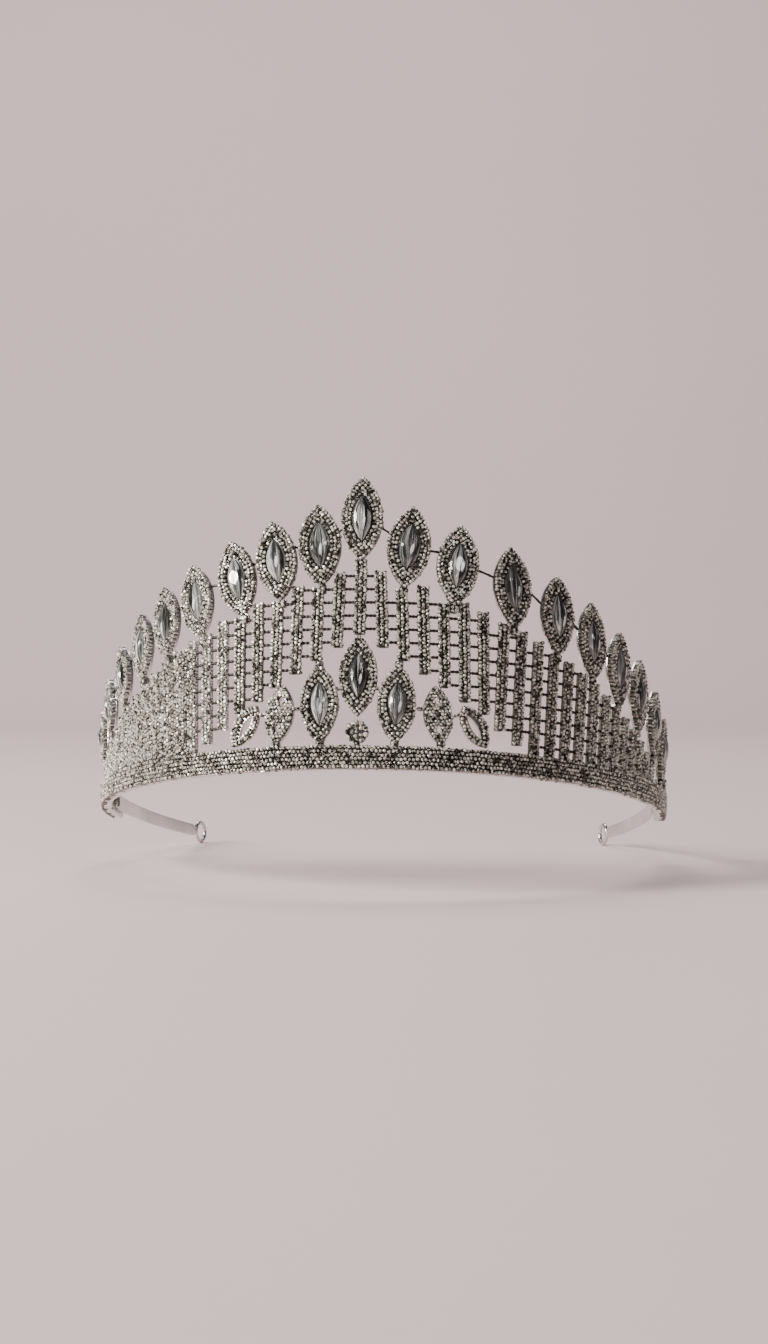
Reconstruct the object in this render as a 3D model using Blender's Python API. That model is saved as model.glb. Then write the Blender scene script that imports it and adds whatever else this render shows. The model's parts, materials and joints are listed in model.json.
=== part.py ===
"""Bridal tiara: an oval rhinestone band that carries a lattice of pave bars, a crown of marquise
settings and a lower centre motif, with two springy plain arms that end in hairpin rings.

Every piece is laid out on the tiara's wall: s runs along the band from its middle (positive
towards +X), z runs up the wall from the band's lower edge and n runs outwards from the wall's
inner face. All lengths are in millimetres until a mesh is made. The whole tiara hangs under one
empty, which holds it as it stands on its end rings: front raised, arms reaching back and down.
"""

import math

import bmesh
import bpy
import numpy as np
from mathutils import Matrix, Vector

MM = 0.001
GAP = 0.35  # solder gap left between neighbouring pieces

# The wall
HALF_WIDTH = 71.2  # of the oval that the band's inner face follows
HALF_DEPTH = 85.2
WALL_FLARE = math.radians(3.7)  # the wall opens outwards as it rises
WALL_SLANT = math.radians(8.9)  # and it slants towards the back
STANDING_TILT = math.radians(11.3)  # front raised while the end rings rest on the table

# The base band
BAND_REACH = 130.0  # from its middle to each end, along the wall
BAND_HEIGHT = 5.6
BAND_THICKNESS = 3.0
BAND_STEP = 5.0

# The lattice of bars and cross wires
BAR_PITCH = 4.734
BAR_WIDTH = 2.8
BAR_BACK, BAR_FRONT = 0.3, 2.5
LAST_BAR = 20
INNER_BARS = 4  # bars -4 to 4 are the middle lattice
WIRE_SIZE = 0.6
WIRE_BACK = 0.6
WIRE_PITCH = 3.24
LOWEST_WIRE = 7.6
ARCH_TOP, ARCH_DROP = 32.3, 3.1  # the bars end above the lower motif along an arch
BAR_TOP = (49.3, 0.34, 0.0008)  # height, slope and droop of the line through the bars' tops

# The crown of marquises
CROWN_PAIRS = 9
MIDDLE_LENGTH, MIDDLE_WIDTH, MIDDLE_FOOT = 20.8, 9.8, 50.4
CROWN_LENGTH = (20.5, 0.012)  # length near the middle, and how much it shrinks along the band
SLENDERNESS = 0.505  # width of a marquise over its length
# The marquises are set by eye, so the two sides differ: where the feet stand, counted in bars from
# the middle, how far each leans outwards in degrees, how fast they shrink further out, and the
# height, slope and droop of the line through their tips.
RIGHT_FEET = (2.0, 4.4, 7.6, 10.25, 12.8, 15.15, 17.55, 20.2, 22.4)
RIGHT_LEAN = (5.0, 3.0, -7.5, -6.0, -8.0, -5.5, -7.0, -8.0, -8.0)
RIGHT_SHRINK = 0.00025
RIGHT_TOP = (68.0, 0.345, 0.0008)
LEFT_FEET = (1.82, 3.8, 5.8, 8.4, 10.9, 13.2, 15.5, 18.0, 20.6)
LEFT_LEAN = (3.7, 7.5, 11.0, 8.0, 2.0, 2.0, 7.0, 8.0, 8.0)
LEFT_SHRINK = 0.0006
LEFT_TOP = (67.3, 0.27, 0.0016)
SETTING_FRONT = 3.0
POCKET_FLOOR = 1.0
POCKET_LENGTH, POCKET_WIDTH = 0.57, 0.50  # the stone's pocket, over the setting's size
STONE_RISE = 0.8  # the stone's table stands this far in front of its setting
OUTLINE_POINTS = 12

# The lower centre motif: distance from the middle, foot, length, width and lean in degrees
LOW_MIDDLE = (0.0, 12.4, 19.4, 9.0, 0.0)
LOW_SIDE = (8.5, 6.0, 19.0, 9.0, 1.0)
OPEN_LEAF = (19.1, 6.0, 14.6, 7.1, -7.4)
SLANT_LEAF = (30.0, 6.3, 11.0, 6.0, -36.0)
LEAF_FRONT = 2.5
OPEN_LEAF_BRIDGE = (4.6, 9.3)  # stones cross the open leaf's hole between these heights
FLOWER_RADIUS, FLOWER_HEIGHT, FLOWER_PETALS = 2.6, 8.75, 8

# The arms and their rings
ARM_START = 119.0  # the arm is soldered inside the band's end from here
ARM_RADIUS = 196.0
ARM_LENGTH = 53.5  # free length behind the band's end
ARM_THICKNESS = 0.8
ARM_HEIGHT_FRONT, ARM_HEIGHT_BACK = 3.8, 3.2
ARM_MIDDLE = 3.0  # height of the arm's centre line above the band's lower edge
RING_RADIUS, RING_WIRE = 2.65, 1.2


def oval_table():
    """Arc length against angle along half of the oval, measured from the middle of the front."""
    angle = np.linspace(0.0, math.radians(150.0), 3001)
    x = HALF_WIDTH * np.sin(angle)
    y = -HALF_DEPTH * np.cos(angle)
    length = np.concatenate([[0.0], np.cumsum(np.hypot(np.diff(x), np.diff(y)))])
    return length, angle


ARC_LENGTH, ARC_ANGLE = oval_table()


def oval(s):
    """Point, outward normal and direction of travel of the band's inner face at s."""
    angle = math.copysign(np.interp(abs(s), ARC_LENGTH, ARC_ANGLE), s)
    point = Vector((HALF_WIDTH * math.sin(angle), -HALF_DEPTH * math.cos(angle), 0.0))
    travel = Vector((HALF_WIDTH * math.cos(angle), HALF_DEPTH * math.sin(angle), 0.0)).normalized()
    outward = Vector((travel.y, -travel.x, 0.0))
    return point, outward, travel


def wall(s, z, n):
    """Point of the wall in millimetres."""
    point, outward, _ = oval(s)
    slant = Vector((0.0, z * math.tan(WALL_SLANT), z))
    return point + outward * (n + z * math.tan(WALL_FLARE)) + slant


def seat(s, z, lean_degrees=0.0):
    """Placement of a flat piece on the wall: its X runs along the band, its Z up the wall."""
    origin = wall(s, z, 0.0)
    up = (wall(s, z + 1.0, 0.0) - origin).normalized()
    inward = up.cross(oval(s)[2]).normalized()
    across = inward.cross(up)
    axes = Matrix((across, inward, up)).transposed().to_4x4()
    lean = Matrix.Rotation(math.radians(lean_degrees), 4, "Y")
    return Matrix.Translation(origin * MM) @ axes @ lean


def metal(name, colour, roughness, metallic):
    material = bpy.data.materials.new(name)
    material.use_nodes = True
    shader = material.node_tree.nodes["Principled BSDF"]
    shader.inputs["Base Color"].default_value = (*colour, 1.0)
    shader.inputs["Roughness"].default_value = roughness
    shader.inputs["Metallic"].default_value = metallic
    return material


def add_empty(name, placement, parent=None):
    empty = bpy.data.objects.new(name, None)
    bpy.context.collection.objects.link(empty)
    empty.empty_display_size = 10 * MM
    empty.parent = parent
    empty.matrix_local = placement
    return empty


def add_piece(name, mesh_builder, placement, material, parent):
    """Object made from a bmesh in metres that is relative to its placement under the parent."""
    mesh = bpy.data.meshes.new(name)
    bmesh.ops.recalc_face_normals(mesh_builder, faces=mesh_builder.faces)
    mesh_builder.to_mesh(mesh)
    mesh_builder.free()
    mesh.materials.append(material)
    piece = bpy.data.objects.new(name, mesh)
    bpy.context.collection.objects.link(piece)
    piece.parent = parent
    piece.matrix_local = placement
    return piece


def shade_round(piece, angle_degrees=40.0):
    piece.data.shade_smooth()
    piece.data.set_sharp_from_angle(angle=math.radians(angle_degrees))


def marquise_outline(length, width, count=OUTLINE_POINTS):
    """Points (x, z) of two arcs that meet at the foot (z = 0) and at the tip (z = length)."""
    half_length, half_width = length / 2, width / 2
    radius = (half_length**2 + half_width**2) / (2 * half_width)
    turn = math.asin(half_length / radius)
    points = []
    for side in (1, -1):
        for step in range(count // 2):
            angle = side * turn * (4 * step / count - 1)
            x = side * (radius * math.cos(angle) - radius + half_width)
            points.append((x, half_length + radius * math.sin(angle)))
    return points


def flower_outline(radius, petals, count=32):
    """Points (x, z) of a round cluster with a scalloped edge."""
    points = []
    for step in range(count):
        angle = 2 * math.pi * step / count
        reach = radius * (0.93 + 0.07 * math.cos(petals * angle))
        points.append((reach * math.cos(angle), reach * math.sin(angle)))
    return points


def shrunk(outline, length, inner_length, width, inner_width):
    """The outline scaled about its middle, which lies half the length above its foot."""
    return [
        (x * inner_width / width, (z - length / 2) * inner_length / length + length / 2)
        for x, z in outline
    ]


def stacked(levels, closed_to_start=False):
    """Closed mesh through outlines of equal length, each given with its distance n. Without caps
    when the last outline joins the first, as for a plate with a hole right through."""
    builder = bmesh.new()
    rings = [
        [builder.verts.new((x * MM, -n * MM, z * MM)) for x, z in outline] for outline, n in levels
    ]
    pairs = list(zip(rings, rings[1:]))
    if closed_to_start:
        pairs.append((rings[-1], rings[0]))
    else:
        builder.faces.new(rings[0])
        builder.faces.new(rings[-1])
    for low, high in pairs:
        for i in range(len(low)):
            j = (i + 1) % len(low)
            builder.faces.new((low[i], low[j], high[j], high[i]))
    return builder


def setting_mesh(length, width):
    """Marquise plate whose front has a pocket for the stone."""
    outline = marquise_outline(length, width)
    pocket = shrunk(outline, length, POCKET_LENGTH * length, width, POCKET_WIDTH * width)
    return stacked(
        [(outline, 0.0), (outline, SETTING_FRONT), (pocket, SETTING_FRONT), (pocket, POCKET_FLOOR)]
    )


def stone_mesh(length, width):
    """Marquise stone that fills the pocket: flat back, wide girdle and a narrower table."""
    outline = marquise_outline(length, width)
    inner_length = POCKET_LENGTH * length - 4 * GAP
    inner_width = POCKET_WIDTH * width - 2 * GAP
    girdle = shrunk(outline, length, inner_length, width, inner_width)
    back = shrunk(outline, length, 0.8 * inner_length, width, 0.7 * inner_width)
    table = shrunk(outline, length, 0.6 * inner_length, width, 0.4 * inner_width)
    return stacked(
        [
            (back, POCKET_FLOOR + GAP),
            (girdle, SETTING_FRONT - 0.4),
            (table, SETTING_FRONT + STONE_RISE),
        ]
    )


def box_mesh(x_range, n_range, z_range):
    corners = [(x_range[i], z_range[j]) for i, j in ((0, 0), (1, 0), (1, 1), (0, 1))]
    return stacked([(corners, n_range[0]), (corners, n_range[1])])


def join(piece, helper):
    """Boolean union of the piece with a hidden helper."""
    helper.hide_render = True
    helper.display_type = "WIRE"
    union = piece.modifiers.new("join_" + helper.name, "BOOLEAN")
    union.operation = "UNION"
    union.solver = "EXACT"
    union.object = helper


def crown_marquise(k):
    """Foot position s, foot height, length, width and lean of the crown's marquise k, counted from
    the middle one to the right. Its foot hangs a length below its tip, which lies on its side's
    top line."""
    if k == 0:
        return 0.0, MIDDLE_FOOT, MIDDLE_LENGTH, MIDDLE_WIDTH, 0.0
    side, feet, leans, shrink, top = 1, RIGHT_FEET, RIGHT_LEAN, RIGHT_SHRINK, RIGHT_TOP
    if k < 0:
        side, feet, leans, shrink, top = -1, LEFT_FEET, LEFT_LEAN, LEFT_SHRINK, LEFT_TOP
    s = feet[abs(k) - 1] * BAR_PITCH
    lean = leans[abs(k) - 1]
    length = CROWN_LENGTH[0] - CROWN_LENGTH[1] * s - shrink * s * s
    tip = s + length * math.sin(math.radians(lean))
    height = top[0] - top[1] * tip - top[2] * tip * tip
    foot = height - length * math.cos(math.radians(lean))
    return side * s, foot, length, SLENDERNESS * length, side * lean


def outline_on_wall(s, foot, length, width, lean_degrees):
    """Finely sampled marquise outline in wall coordinates (s, z)."""
    turn = math.radians(lean_degrees)
    return [
        (s + x * math.cos(turn) + z * math.sin(turn), foot + z * math.cos(turn) - x * math.sin(turn))
        for x, z in marquise_outline(length, width, 120)
    ]


def crown_outlines():
    return [outline_on_wall(*crown_marquise(k)) for k in range(-CROWN_PAIRS, CROWN_PAIRS + 1)]


def low_outlines():
    shapes = [LOW_MIDDLE]
    for s, foot, length, width, lean in (LOW_SIDE, OPEN_LEAF, SLANT_LEAF):
        shapes += [(side * s, foot, length, width, side * lean) for side in (1, -1)]
    return [outline_on_wall(*shape) for shape in shapes]


def bar_span(k, above, below):
    """Lower and upper end of bar k, held clear of the marquises above and the motif below it."""
    s = k * BAR_PITCH
    reach = BAR_WIDTH / 2 + GAP
    distance = abs(s)
    top = BAR_TOP[0] - BAR_TOP[1] * distance - BAR_TOP[2] * distance * distance
    bottom = max(BAND_HEIGHT + GAP, ARCH_TOP - ARCH_DROP * abs(k))
    for outline in above:
        top = min([top] + [z - GAP for x, z in outline if abs(x - s) < reach])
    for outline in below:
        bottom = max([bottom] + [z + GAP for x, z in outline if abs(x - s) < reach])
    if k == 0:
        top = MIDDLE_FOOT - GAP
    return bottom, top


def filled_cells(columns, z_lines):
    """Which cells (column, row, layer) of a lattice are metal. Columns alternate bar, gap, bar;
    a cross wire fills a gap where it meets the bars on both sides."""
    cells = set()
    middles = [(low + high) / 2 for low, high in zip(z_lines, z_lines[1:])]
    for i, (low, high) in enumerate(columns):
        for j, z in enumerate(middles):
            if not low < z < high:
                continue
            wire = (z - LOWEST_WIRE) % WIRE_PITCH < WIRE_SIZE
            if i % 2 == 0:
                cells |= {(i, j, 0), (i, j, 1), (i, j, 2)}
            elif wire:
                cells.add((i, j, 1))
    return cells


def lattice_mesh(first, last, placement):
    """Bars first to last with their cross wires, as the skin round the filled cells of a grid
    that is bent onto the wall."""
    above, below = crown_outlines(), low_outlines()
    spans = [bar_span(k, above, below) for k in range(first, last + 1)]
    columns = [spans[0]]
    for before, after in zip(spans, spans[1:]):
        shared = (max(before[0], after[0]), min(before[1], after[1]))
        rows = math.ceil((shared[0] - LOWEST_WIRE) / WIRE_PITCH)
        top_row = math.floor((shared[1] - WIRE_SIZE - LOWEST_WIRE) / WIRE_PITCH)
        low = LOWEST_WIRE + rows * WIRE_PITCH
        high = LOWEST_WIRE + top_row * WIRE_PITCH + WIRE_SIZE
        columns += [(low, high), after]
    s_lines = []
    for k in range(first, last + 1):
        s_lines += [k * BAR_PITCH - BAR_WIDTH / 2, k * BAR_PITCH + BAR_WIDTH / 2]
    wires = [LOWEST_WIRE + row * WIRE_PITCH for row in range(14)]
    z_lines = {round(z, 3) for span in spans for z in span}
    z_lines |= {round(z, 3) for wire in wires for z in (wire, wire + WIRE_SIZE)}
    z_lines = sorted(z_lines)
    n_lines = (BAR_BACK, WIRE_BACK, WIRE_BACK + WIRE_SIZE, BAR_FRONT)
    cells = filled_cells(columns, z_lines)
    return skin(cells, s_lines, z_lines, n_lines, placement)


def skin(cells, s_lines, z_lines, n_lines, placement):
    """Outer faces of the filled cells; flat runs of faces are merged."""
    builder = bmesh.new()
    to_local = placement.inverted()
    corners = {}

    def corner(i, j, k):
        if (i, j, k) not in corners:
            point = wall(s_lines[i], z_lines[j], n_lines[k]) * MM
            corners[i, j, k] = builder.verts.new(to_local @ point)
        return corners[i, j, k]

    square = ((0, 0), (1, 0), (1, 1), (0, 1))
    for cell in sorted(cells):
        for axis in range(3):
            for side in (0, 1):
                neighbour = list(cell)
                neighbour[axis] += 2 * side - 1
                if tuple(neighbour) in cells:
                    continue
                face = []
                for a, b in square:
                    index = list(cell)
                    index[axis] += side
                    index[(axis + 1) % 3] += a
                    index[(axis + 2) % 3] += b
                    face.append(corner(*index))
                builder.faces.new(face if side else face[::-1])
    bmesh.ops.dissolve_limit(
        builder, angle_limit=math.radians(0.02), verts=builder.verts, edges=builder.edges
    )
    return builder


def swept(stations):
    """Closed bar through four-cornered stations in metres."""
    builder = bmesh.new()
    rings = [[builder.verts.new(point) for point in station] for station in stations]
    builder.faces.new(rings[0])
    builder.faces.new(rings[-1])
    for before, after in zip(rings, rings[1:]):
        for i in range(4):
            j = (i + 1) % 4
            builder.faces.new((before[i], before[j], after[j], after[i]))
    return builder


def add_base_band(parent, material):
    placement = Matrix.Translation(wall(0.0, 0.0, 0.0) * MM)
    to_local = placement.inverted()
    section = ((0, 0), (BAND_THICKNESS, 0), (BAND_THICKNESS, BAND_HEIGHT), (0, BAND_HEIGHT))
    count = round(2 * BAND_REACH / BAND_STEP)
    stations = []
    for step in range(count + 1):
        s = -BAND_REACH + step * 2 * BAND_REACH / count
        stations.append([to_local @ (wall(s, z, n) * MM) for n, z in section])
    band = add_piece("base_band", swept(stations), placement, material, parent)
    shade_round(band)


def add_lattices(parent, material):
    groups = (
        ("lattice_left", -LAST_BAR, -INNER_BARS - 1),
        ("lattice_centre", -INNER_BARS, INNER_BARS),
        ("lattice_right", INNER_BARS + 1, LAST_BAR),
    )
    for name, first, last in groups:
        middle = (first + last) / 2 * BAR_PITCH
        placement = seat(middle, BAND_HEIGHT)
        add_piece(name, lattice_mesh(first, last, placement), placement, material, parent)


def add_link(setting, placement, k, parent, material):
    """Short wire from the widest point of marquise k towards its inner neighbour's flank."""
    s, foot, length, width, lean = crown_marquise(k)
    side = 1 if k > 0 else -1
    height = 0.5 * length
    turn = math.radians(lean)
    middle = abs(s + height * math.sin(turn))
    level = foot + height * math.cos(turn)
    inner = outline_on_wall(*crown_marquise(k - side))
    flank = max([0.0] + [side * x for x, z in inner if abs(z - level) < 1.5])
    reach = max(width / 2, middle - flank - 3 * GAP)
    x_range = sorted((-side * (width / 2 - 0.6), -side * reach))
    link = add_piece(
        "link_" + setting.name,
        box_mesh(x_range, (0.5, 0.5 + WIRE_SIZE), (height - WIRE_SIZE / 2, height + WIRE_SIZE / 2)),
        placement,
        material,
        parent,
    )
    join(setting, link)


def add_crown(parent, silver, crystal):
    for number, k in enumerate(range(-CROWN_PAIRS, CROWN_PAIRS + 1), start=1):
        s, foot, length, width, lean = crown_marquise(k)
        placement = seat(s, foot, lean)
        name = f"crown_setting_{number:02d}"
        setting = add_piece(name, setting_mesh(length, width), placement, silver, parent)
        if abs(k) > 1:
            add_link(setting, placement, k, parent, silver)
        name = f"crown_stone_{number:02d}"
        add_piece(name, stone_mesh(length, width), placement, crystal, parent)


def add_low_marquises(parent, silver, crystal):
    s, foot, length, width, lean = LOW_SIDE
    shapes = {
        "low_centre": LOW_MIDDLE,
        "low_left": (-s, foot, length, width, -lean),
        "low_right": (s, foot, length, width, lean),
    }
    for name, (s, foot, length, width, lean) in shapes.items():
        placement = seat(s, foot, lean)
        add_piece(name + "_setting", setting_mesh(length, width), placement, silver, parent)
        add_piece(name + "_stone", stone_mesh(length, width), placement, crystal, parent)


def leaf_mesh(length, width, slot_length, slot_width):
    """Marquise plate with a marquise hole right through it."""
    outline = marquise_outline(length, width)
    slot = shrunk(outline, length, slot_length, width, slot_width)
    return stacked(
        [(outline, 0.3), (outline, LEAF_FRONT), (slot, LEAF_FRONT), (slot, 0.3)],
        closed_to_start=True,
    )


def add_leaves(parent, material):
    for word, side in (("left", -1), ("right", 1)):
        s, foot, length, width, lean = OPEN_LEAF
        placement = seat(side * s, foot, side * lean)
        builder = leaf_mesh(length, width, 0.62 * length, 0.30 * width)
        leaf = add_piece("open_leaf_" + word, builder, placement, material, parent)
        cross = add_piece(
            "cross_" + leaf.name,
            box_mesh((-0.3 * width, 0.3 * width), (0.5, LEAF_FRONT - 0.2), OPEN_LEAF_BRIDGE),
            placement,
            material,
            parent,
        )
        join(leaf, cross)
        s, foot, length, width, lean = SLANT_LEAF
        placement = seat(side * s, foot, side * lean)
        builder = leaf_mesh(length, width, 0.56 * length, 0.22 * width)
        add_piece("slant_leaf_" + word, builder, placement, material, parent)


def add_flower(parent, material):
    placement = seat(0.0, FLOWER_HEIGHT)
    outline = flower_outline(FLOWER_RADIUS, FLOWER_PETALS)
    crown = [(0.7 * x, 0.7 * z) for x, z in outline]
    builder = stacked([(outline, 0.3), (outline, 1.6), (crown, LEAF_FRONT)])
    add_piece("flower_cluster", builder, placement, material, parent)


def arm_point(distance, side):
    """Centre line of an arm and its outward normal. The arm lies against the band's inner face up
    to the band's end, at distance zero, and then runs on along its own wide arc."""
    depth = -(GAP + ARM_THICKNESS / 2)
    if distance <= 0:
        point, outward, _ = oval(side * (BAND_REACH + distance))
        return point + outward * depth, outward
    point, outward, travel = oval(side * BAND_REACH)
    start = point + outward * depth
    turn = distance / ARM_RADIUS
    forward = travel * side
    centre = start - outward * ARM_RADIUS
    heading = outward * math.cos(turn) + forward * math.sin(turn)
    return centre + heading * ARM_RADIUS, heading


def arm_stations(side, to_local):
    stations = []
    count = 16
    overlap = BAND_REACH - ARM_START
    for step in range(count + 1):
        distance = -overlap + step * (overlap + ARM_LENGTH) / count
        point, outward = arm_point(distance, side)
        share = step / count
        half_height = (ARM_HEIGHT_FRONT + (ARM_HEIGHT_BACK - ARM_HEIGHT_FRONT) * share) / 2
        station = []
        for n, z in ((-1, -1), (1, -1), (1, 1), (-1, 1)):
            corner = point + outward * (n * ARM_THICKNESS / 2)
            corner.z = ARM_MIDDLE + z * half_height
            station.append(to_local @ (corner * MM))
        stations.append(station)
    return stations


def ring_mesh():
    """Round loop of wire in the local XZ plane."""
    builder = bmesh.new()
    major, minor = 20, 8
    rings = []
    for i in range(major):
        around = 2 * math.pi * i / major
        ring = []
        for j in range(minor):
            across = 2 * math.pi * j / minor
            reach = RING_RADIUS + RING_WIRE / 2 * math.cos(across)
            point = (reach * math.cos(around), RING_WIRE / 2 * math.sin(across), reach * math.sin(around))
            ring.append(builder.verts.new(Vector(point) * MM))
        rings.append(ring)
    for i in range(major):
        after = rings[(i + 1) % major]
        for j in range(minor):
            k = (j + 1) % minor
            builder.faces.new((rings[i][j], after[j], after[k], rings[i][k]))
    return builder


def add_arms(parent, material):
    """Each arm and its ring hang under a pivot, the line at the band's end where the arm flexes."""
    for word, side in (("left", -1), ("right", 1)):
        edge, outward, travel = oval(side * BAND_REACH)
        position = edge - outward * GAP
        axes = Matrix((travel, -outward, Vector((0, 0, 1)))).transposed().to_4x4()
        pivot_place = Matrix.Translation(position * MM) @ axes
        pivot = add_empty(word + "_arm_pivot", pivot_place, parent)
        to_local = pivot_place.inverted()
        stations = arm_stations(side, to_local)
        arm = add_piece(word + "_arm", swept(stations), Matrix.Identity(4), material, pivot)
        shade_round(arm)
        centre, heading = arm_point(ARM_LENGTH + GAP + RING_RADIUS + RING_WIRE / 2, side)
        centre.z = ARM_MIDDLE
        forward = Vector((-heading.y, heading.x, 0.0))
        ring_axes = Matrix((forward, -heading, Vector((0, 0, 1)))).transposed().to_4x4()
        placement = to_local @ Matrix.Translation(centre * MM) @ ring_axes
        ring = add_piece(word + "_end_ring", ring_mesh(), placement, material, pivot)
        shade_round(ring, 80.0)


def stand_on_table(stand):
    """Moves the tiara so that its box is centred on the origin and rests on z = 0."""
    bpy.context.view_layer.update()
    points = [
        piece.matrix_world @ vertex.co
        for piece in bpy.data.objects
        if piece.type == "MESH"
        for vertex in piece.data.vertices
    ]
    low = Vector([min(point[axis] for point in points) for axis in range(3)])
    high = Vector([max(point[axis] for point in points) for axis in range(3)])
    stand.location -= Vector(((low.x + high.x) / 2, (low.y + high.y) / 2, low.z))


def main():
    for item in list(bpy.data.objects):
        bpy.data.objects.remove(item, do_unlink=True)
    silver = metal("rhodium_silver", (0.62, 0.61, 0.59), 0.22, 1.0)
    pave = metal("pave_silver", (0.46, 0.45, 0.43), 0.35, 0.9)
    crystal = metal("clear_crystal", (0.78, 0.82, 0.84), 0.05, 0.0)
    tilt = Matrix.Rotation(-STANDING_TILT, 4, "X")
    stand = add_empty("tiara_stand", tilt)
    add_base_band(stand, pave)
    add_lattices(stand, pave)
    add_crown(stand, pave, crystal)
    add_low_marquises(stand, pave, crystal)
    add_leaves(stand, pave)
    add_flower(stand, pave)
    add_arms(stand, silver)
    stand_on_table(stand)


main()
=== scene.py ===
# %% [markdown]
# # A bridal tiara in pave and marquise stones
# The packed model gives the fixed frame: where the band, the bars, the settings and the arms lie
# and how the two arms flex. This lesson dresses that frame. Each step makes one kind of piece the
# way a jeweller builds it: a silver plate, cups soldered on the plate, a stone in each cup.

import json
import math

import bpy
import numpy as np
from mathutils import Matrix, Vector


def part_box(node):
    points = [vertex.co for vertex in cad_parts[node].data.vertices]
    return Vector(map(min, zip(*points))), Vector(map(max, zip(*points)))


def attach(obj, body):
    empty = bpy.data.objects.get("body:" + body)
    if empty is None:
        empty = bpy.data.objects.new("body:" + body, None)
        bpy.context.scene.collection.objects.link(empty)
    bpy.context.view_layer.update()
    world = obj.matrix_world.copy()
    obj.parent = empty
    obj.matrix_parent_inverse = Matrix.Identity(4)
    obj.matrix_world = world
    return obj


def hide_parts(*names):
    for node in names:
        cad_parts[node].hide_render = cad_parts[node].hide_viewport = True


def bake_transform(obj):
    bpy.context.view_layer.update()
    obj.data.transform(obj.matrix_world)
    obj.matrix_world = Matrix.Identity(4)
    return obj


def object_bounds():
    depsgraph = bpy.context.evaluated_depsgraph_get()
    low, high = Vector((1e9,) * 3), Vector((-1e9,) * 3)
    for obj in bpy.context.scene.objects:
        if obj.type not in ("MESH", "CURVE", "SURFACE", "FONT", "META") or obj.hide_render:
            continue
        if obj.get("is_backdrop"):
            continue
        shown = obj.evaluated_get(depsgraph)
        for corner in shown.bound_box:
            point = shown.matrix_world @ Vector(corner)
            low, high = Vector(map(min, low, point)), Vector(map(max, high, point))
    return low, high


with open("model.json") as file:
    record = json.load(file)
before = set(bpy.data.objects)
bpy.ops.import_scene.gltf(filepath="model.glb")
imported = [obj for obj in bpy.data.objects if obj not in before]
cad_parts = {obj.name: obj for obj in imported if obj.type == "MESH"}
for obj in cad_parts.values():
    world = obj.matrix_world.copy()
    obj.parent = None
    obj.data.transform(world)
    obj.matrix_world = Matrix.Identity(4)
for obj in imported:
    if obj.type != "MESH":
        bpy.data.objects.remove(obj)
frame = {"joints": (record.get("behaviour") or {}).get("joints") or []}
cad_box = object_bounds()
for word, corner in zip(("from", "to"), cad_box):
    print("packed model", word, [round(v, 4) for v in corner])

# %% [markdown]
# ## The wall
# Everything but the arms lies on one curved wall. In plan its inner face is part of an oval, and
# it opens outwards and slants back as it rises. A maker thinks of a place on it as three numbers:
# s along the band from its middle, z up the wall from the band's lower edge, and n outwards.
# Working in these numbers keeps every piece flat and simple until the last step, which bends it
# onto the wall. An array of places goes through at once, so no loop over points is needed.

# %% The oval and the wall
MM = 0.001
HALF_WIDTH, HALF_DEPTH = 71.2, 85.2  # of the oval, in millimetres like all sizes here
FLARE = math.tan(math.radians(3.7))
SLANT = math.tan(math.radians(8.9))
BAND_REACH = 130.0
BAND_HEIGHT = 5.6
GAP = 0.35  # left between neighbouring solids in the packed model

ANGLES = np.linspace(0.0, math.radians(150.0), 3001)
OVAL_X = HALF_WIDTH * np.sin(ANGLES)
OVAL_Y = -HALF_DEPTH * np.cos(ANGLES)
LENGTHS = np.concatenate([[0.0], np.cumsum(np.hypot(np.diff(OVAL_X), np.diff(OVAL_Y)))])


def unit(vectors):
    """Each vector divided by its own length."""
    return vectors / np.linalg.norm(vectors, axis=-1, keepdims=True)


def oval(s):
    """Points of the oval at arc lengths s, with the outward normal and the direction of travel:
    x = A sin(a), y = -B cos(a), where the angle a is looked up from the arc length."""
    s = np.asarray(s, float)
    angle = np.sign(s) * np.interp(np.abs(s), LENGTHS, ANGLES)
    flat = np.zeros_like(angle)
    point = np.stack([HALF_WIDTH * np.sin(angle), -HALF_DEPTH * np.cos(angle), flat], -1)
    travel = unit(np.stack([HALF_WIDTH * np.cos(angle), HALF_DEPTH * np.sin(angle), flat], -1))
    outward = np.stack([travel[..., 1], -travel[..., 0], flat], -1)
    return point, outward, travel


def wall(s, z, n):
    """Points of the wall: the oval's point, plus outwards by n and the flare times z, plus
    back by the slant times z, plus up by z."""
    s, z, n = np.broadcast_arrays(np.asarray(s, float), np.asarray(z, float), np.asarray(n, float))
    point, outward, _ = oval(s)
    rise = np.stack([np.zeros_like(z), z * SLANT, z], -1)
    return point + outward * (n + z * FLARE)[..., None] + rise


def wall_axes(s, z):
    """Right-handed axes of the wall at (s, z): along the band, up the wall and outwards."""
    up = unit(wall(s, np.asarray(z, float) + 1.0, 0.0) - wall(s, z, 0.0))
    along = oval(np.broadcast_arrays(np.asarray(s, float), np.asarray(z, float))[0])[2]
    out = unit(np.cross(along, up))
    return np.stack([np.cross(up, out), up, out], -2)


print("the oval's half length is", round(float(LENGTHS[-1]), 1), "mm")

# %% [markdown]
# The tiara stands on its end rings with the front raised, so the wall is turned about X. The turn
# and the shift need no guessing: the left arm's hinge stands at the band's end and its axis is
# the band's own upright, and the frame gives both.

# %% From the wall to the frame
hinge = {joint["name"]: joint for joint in frame["joints"]}["left_arm_flex"]
upright = np.array(hinge["axis"])
tilt = math.atan2(upright[1], upright[2])
TURN = np.array(
    [[1, 0, 0], [0, math.cos(tilt), math.sin(tilt)], [0, -math.sin(tilt), math.cos(tilt)]]
)
band_end, end_outward, _ = oval(-BAND_REACH)
SHIFT = np.array(hinge["pos_m"]) / MM - TURN @ (band_end - end_outward * GAP)


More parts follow.
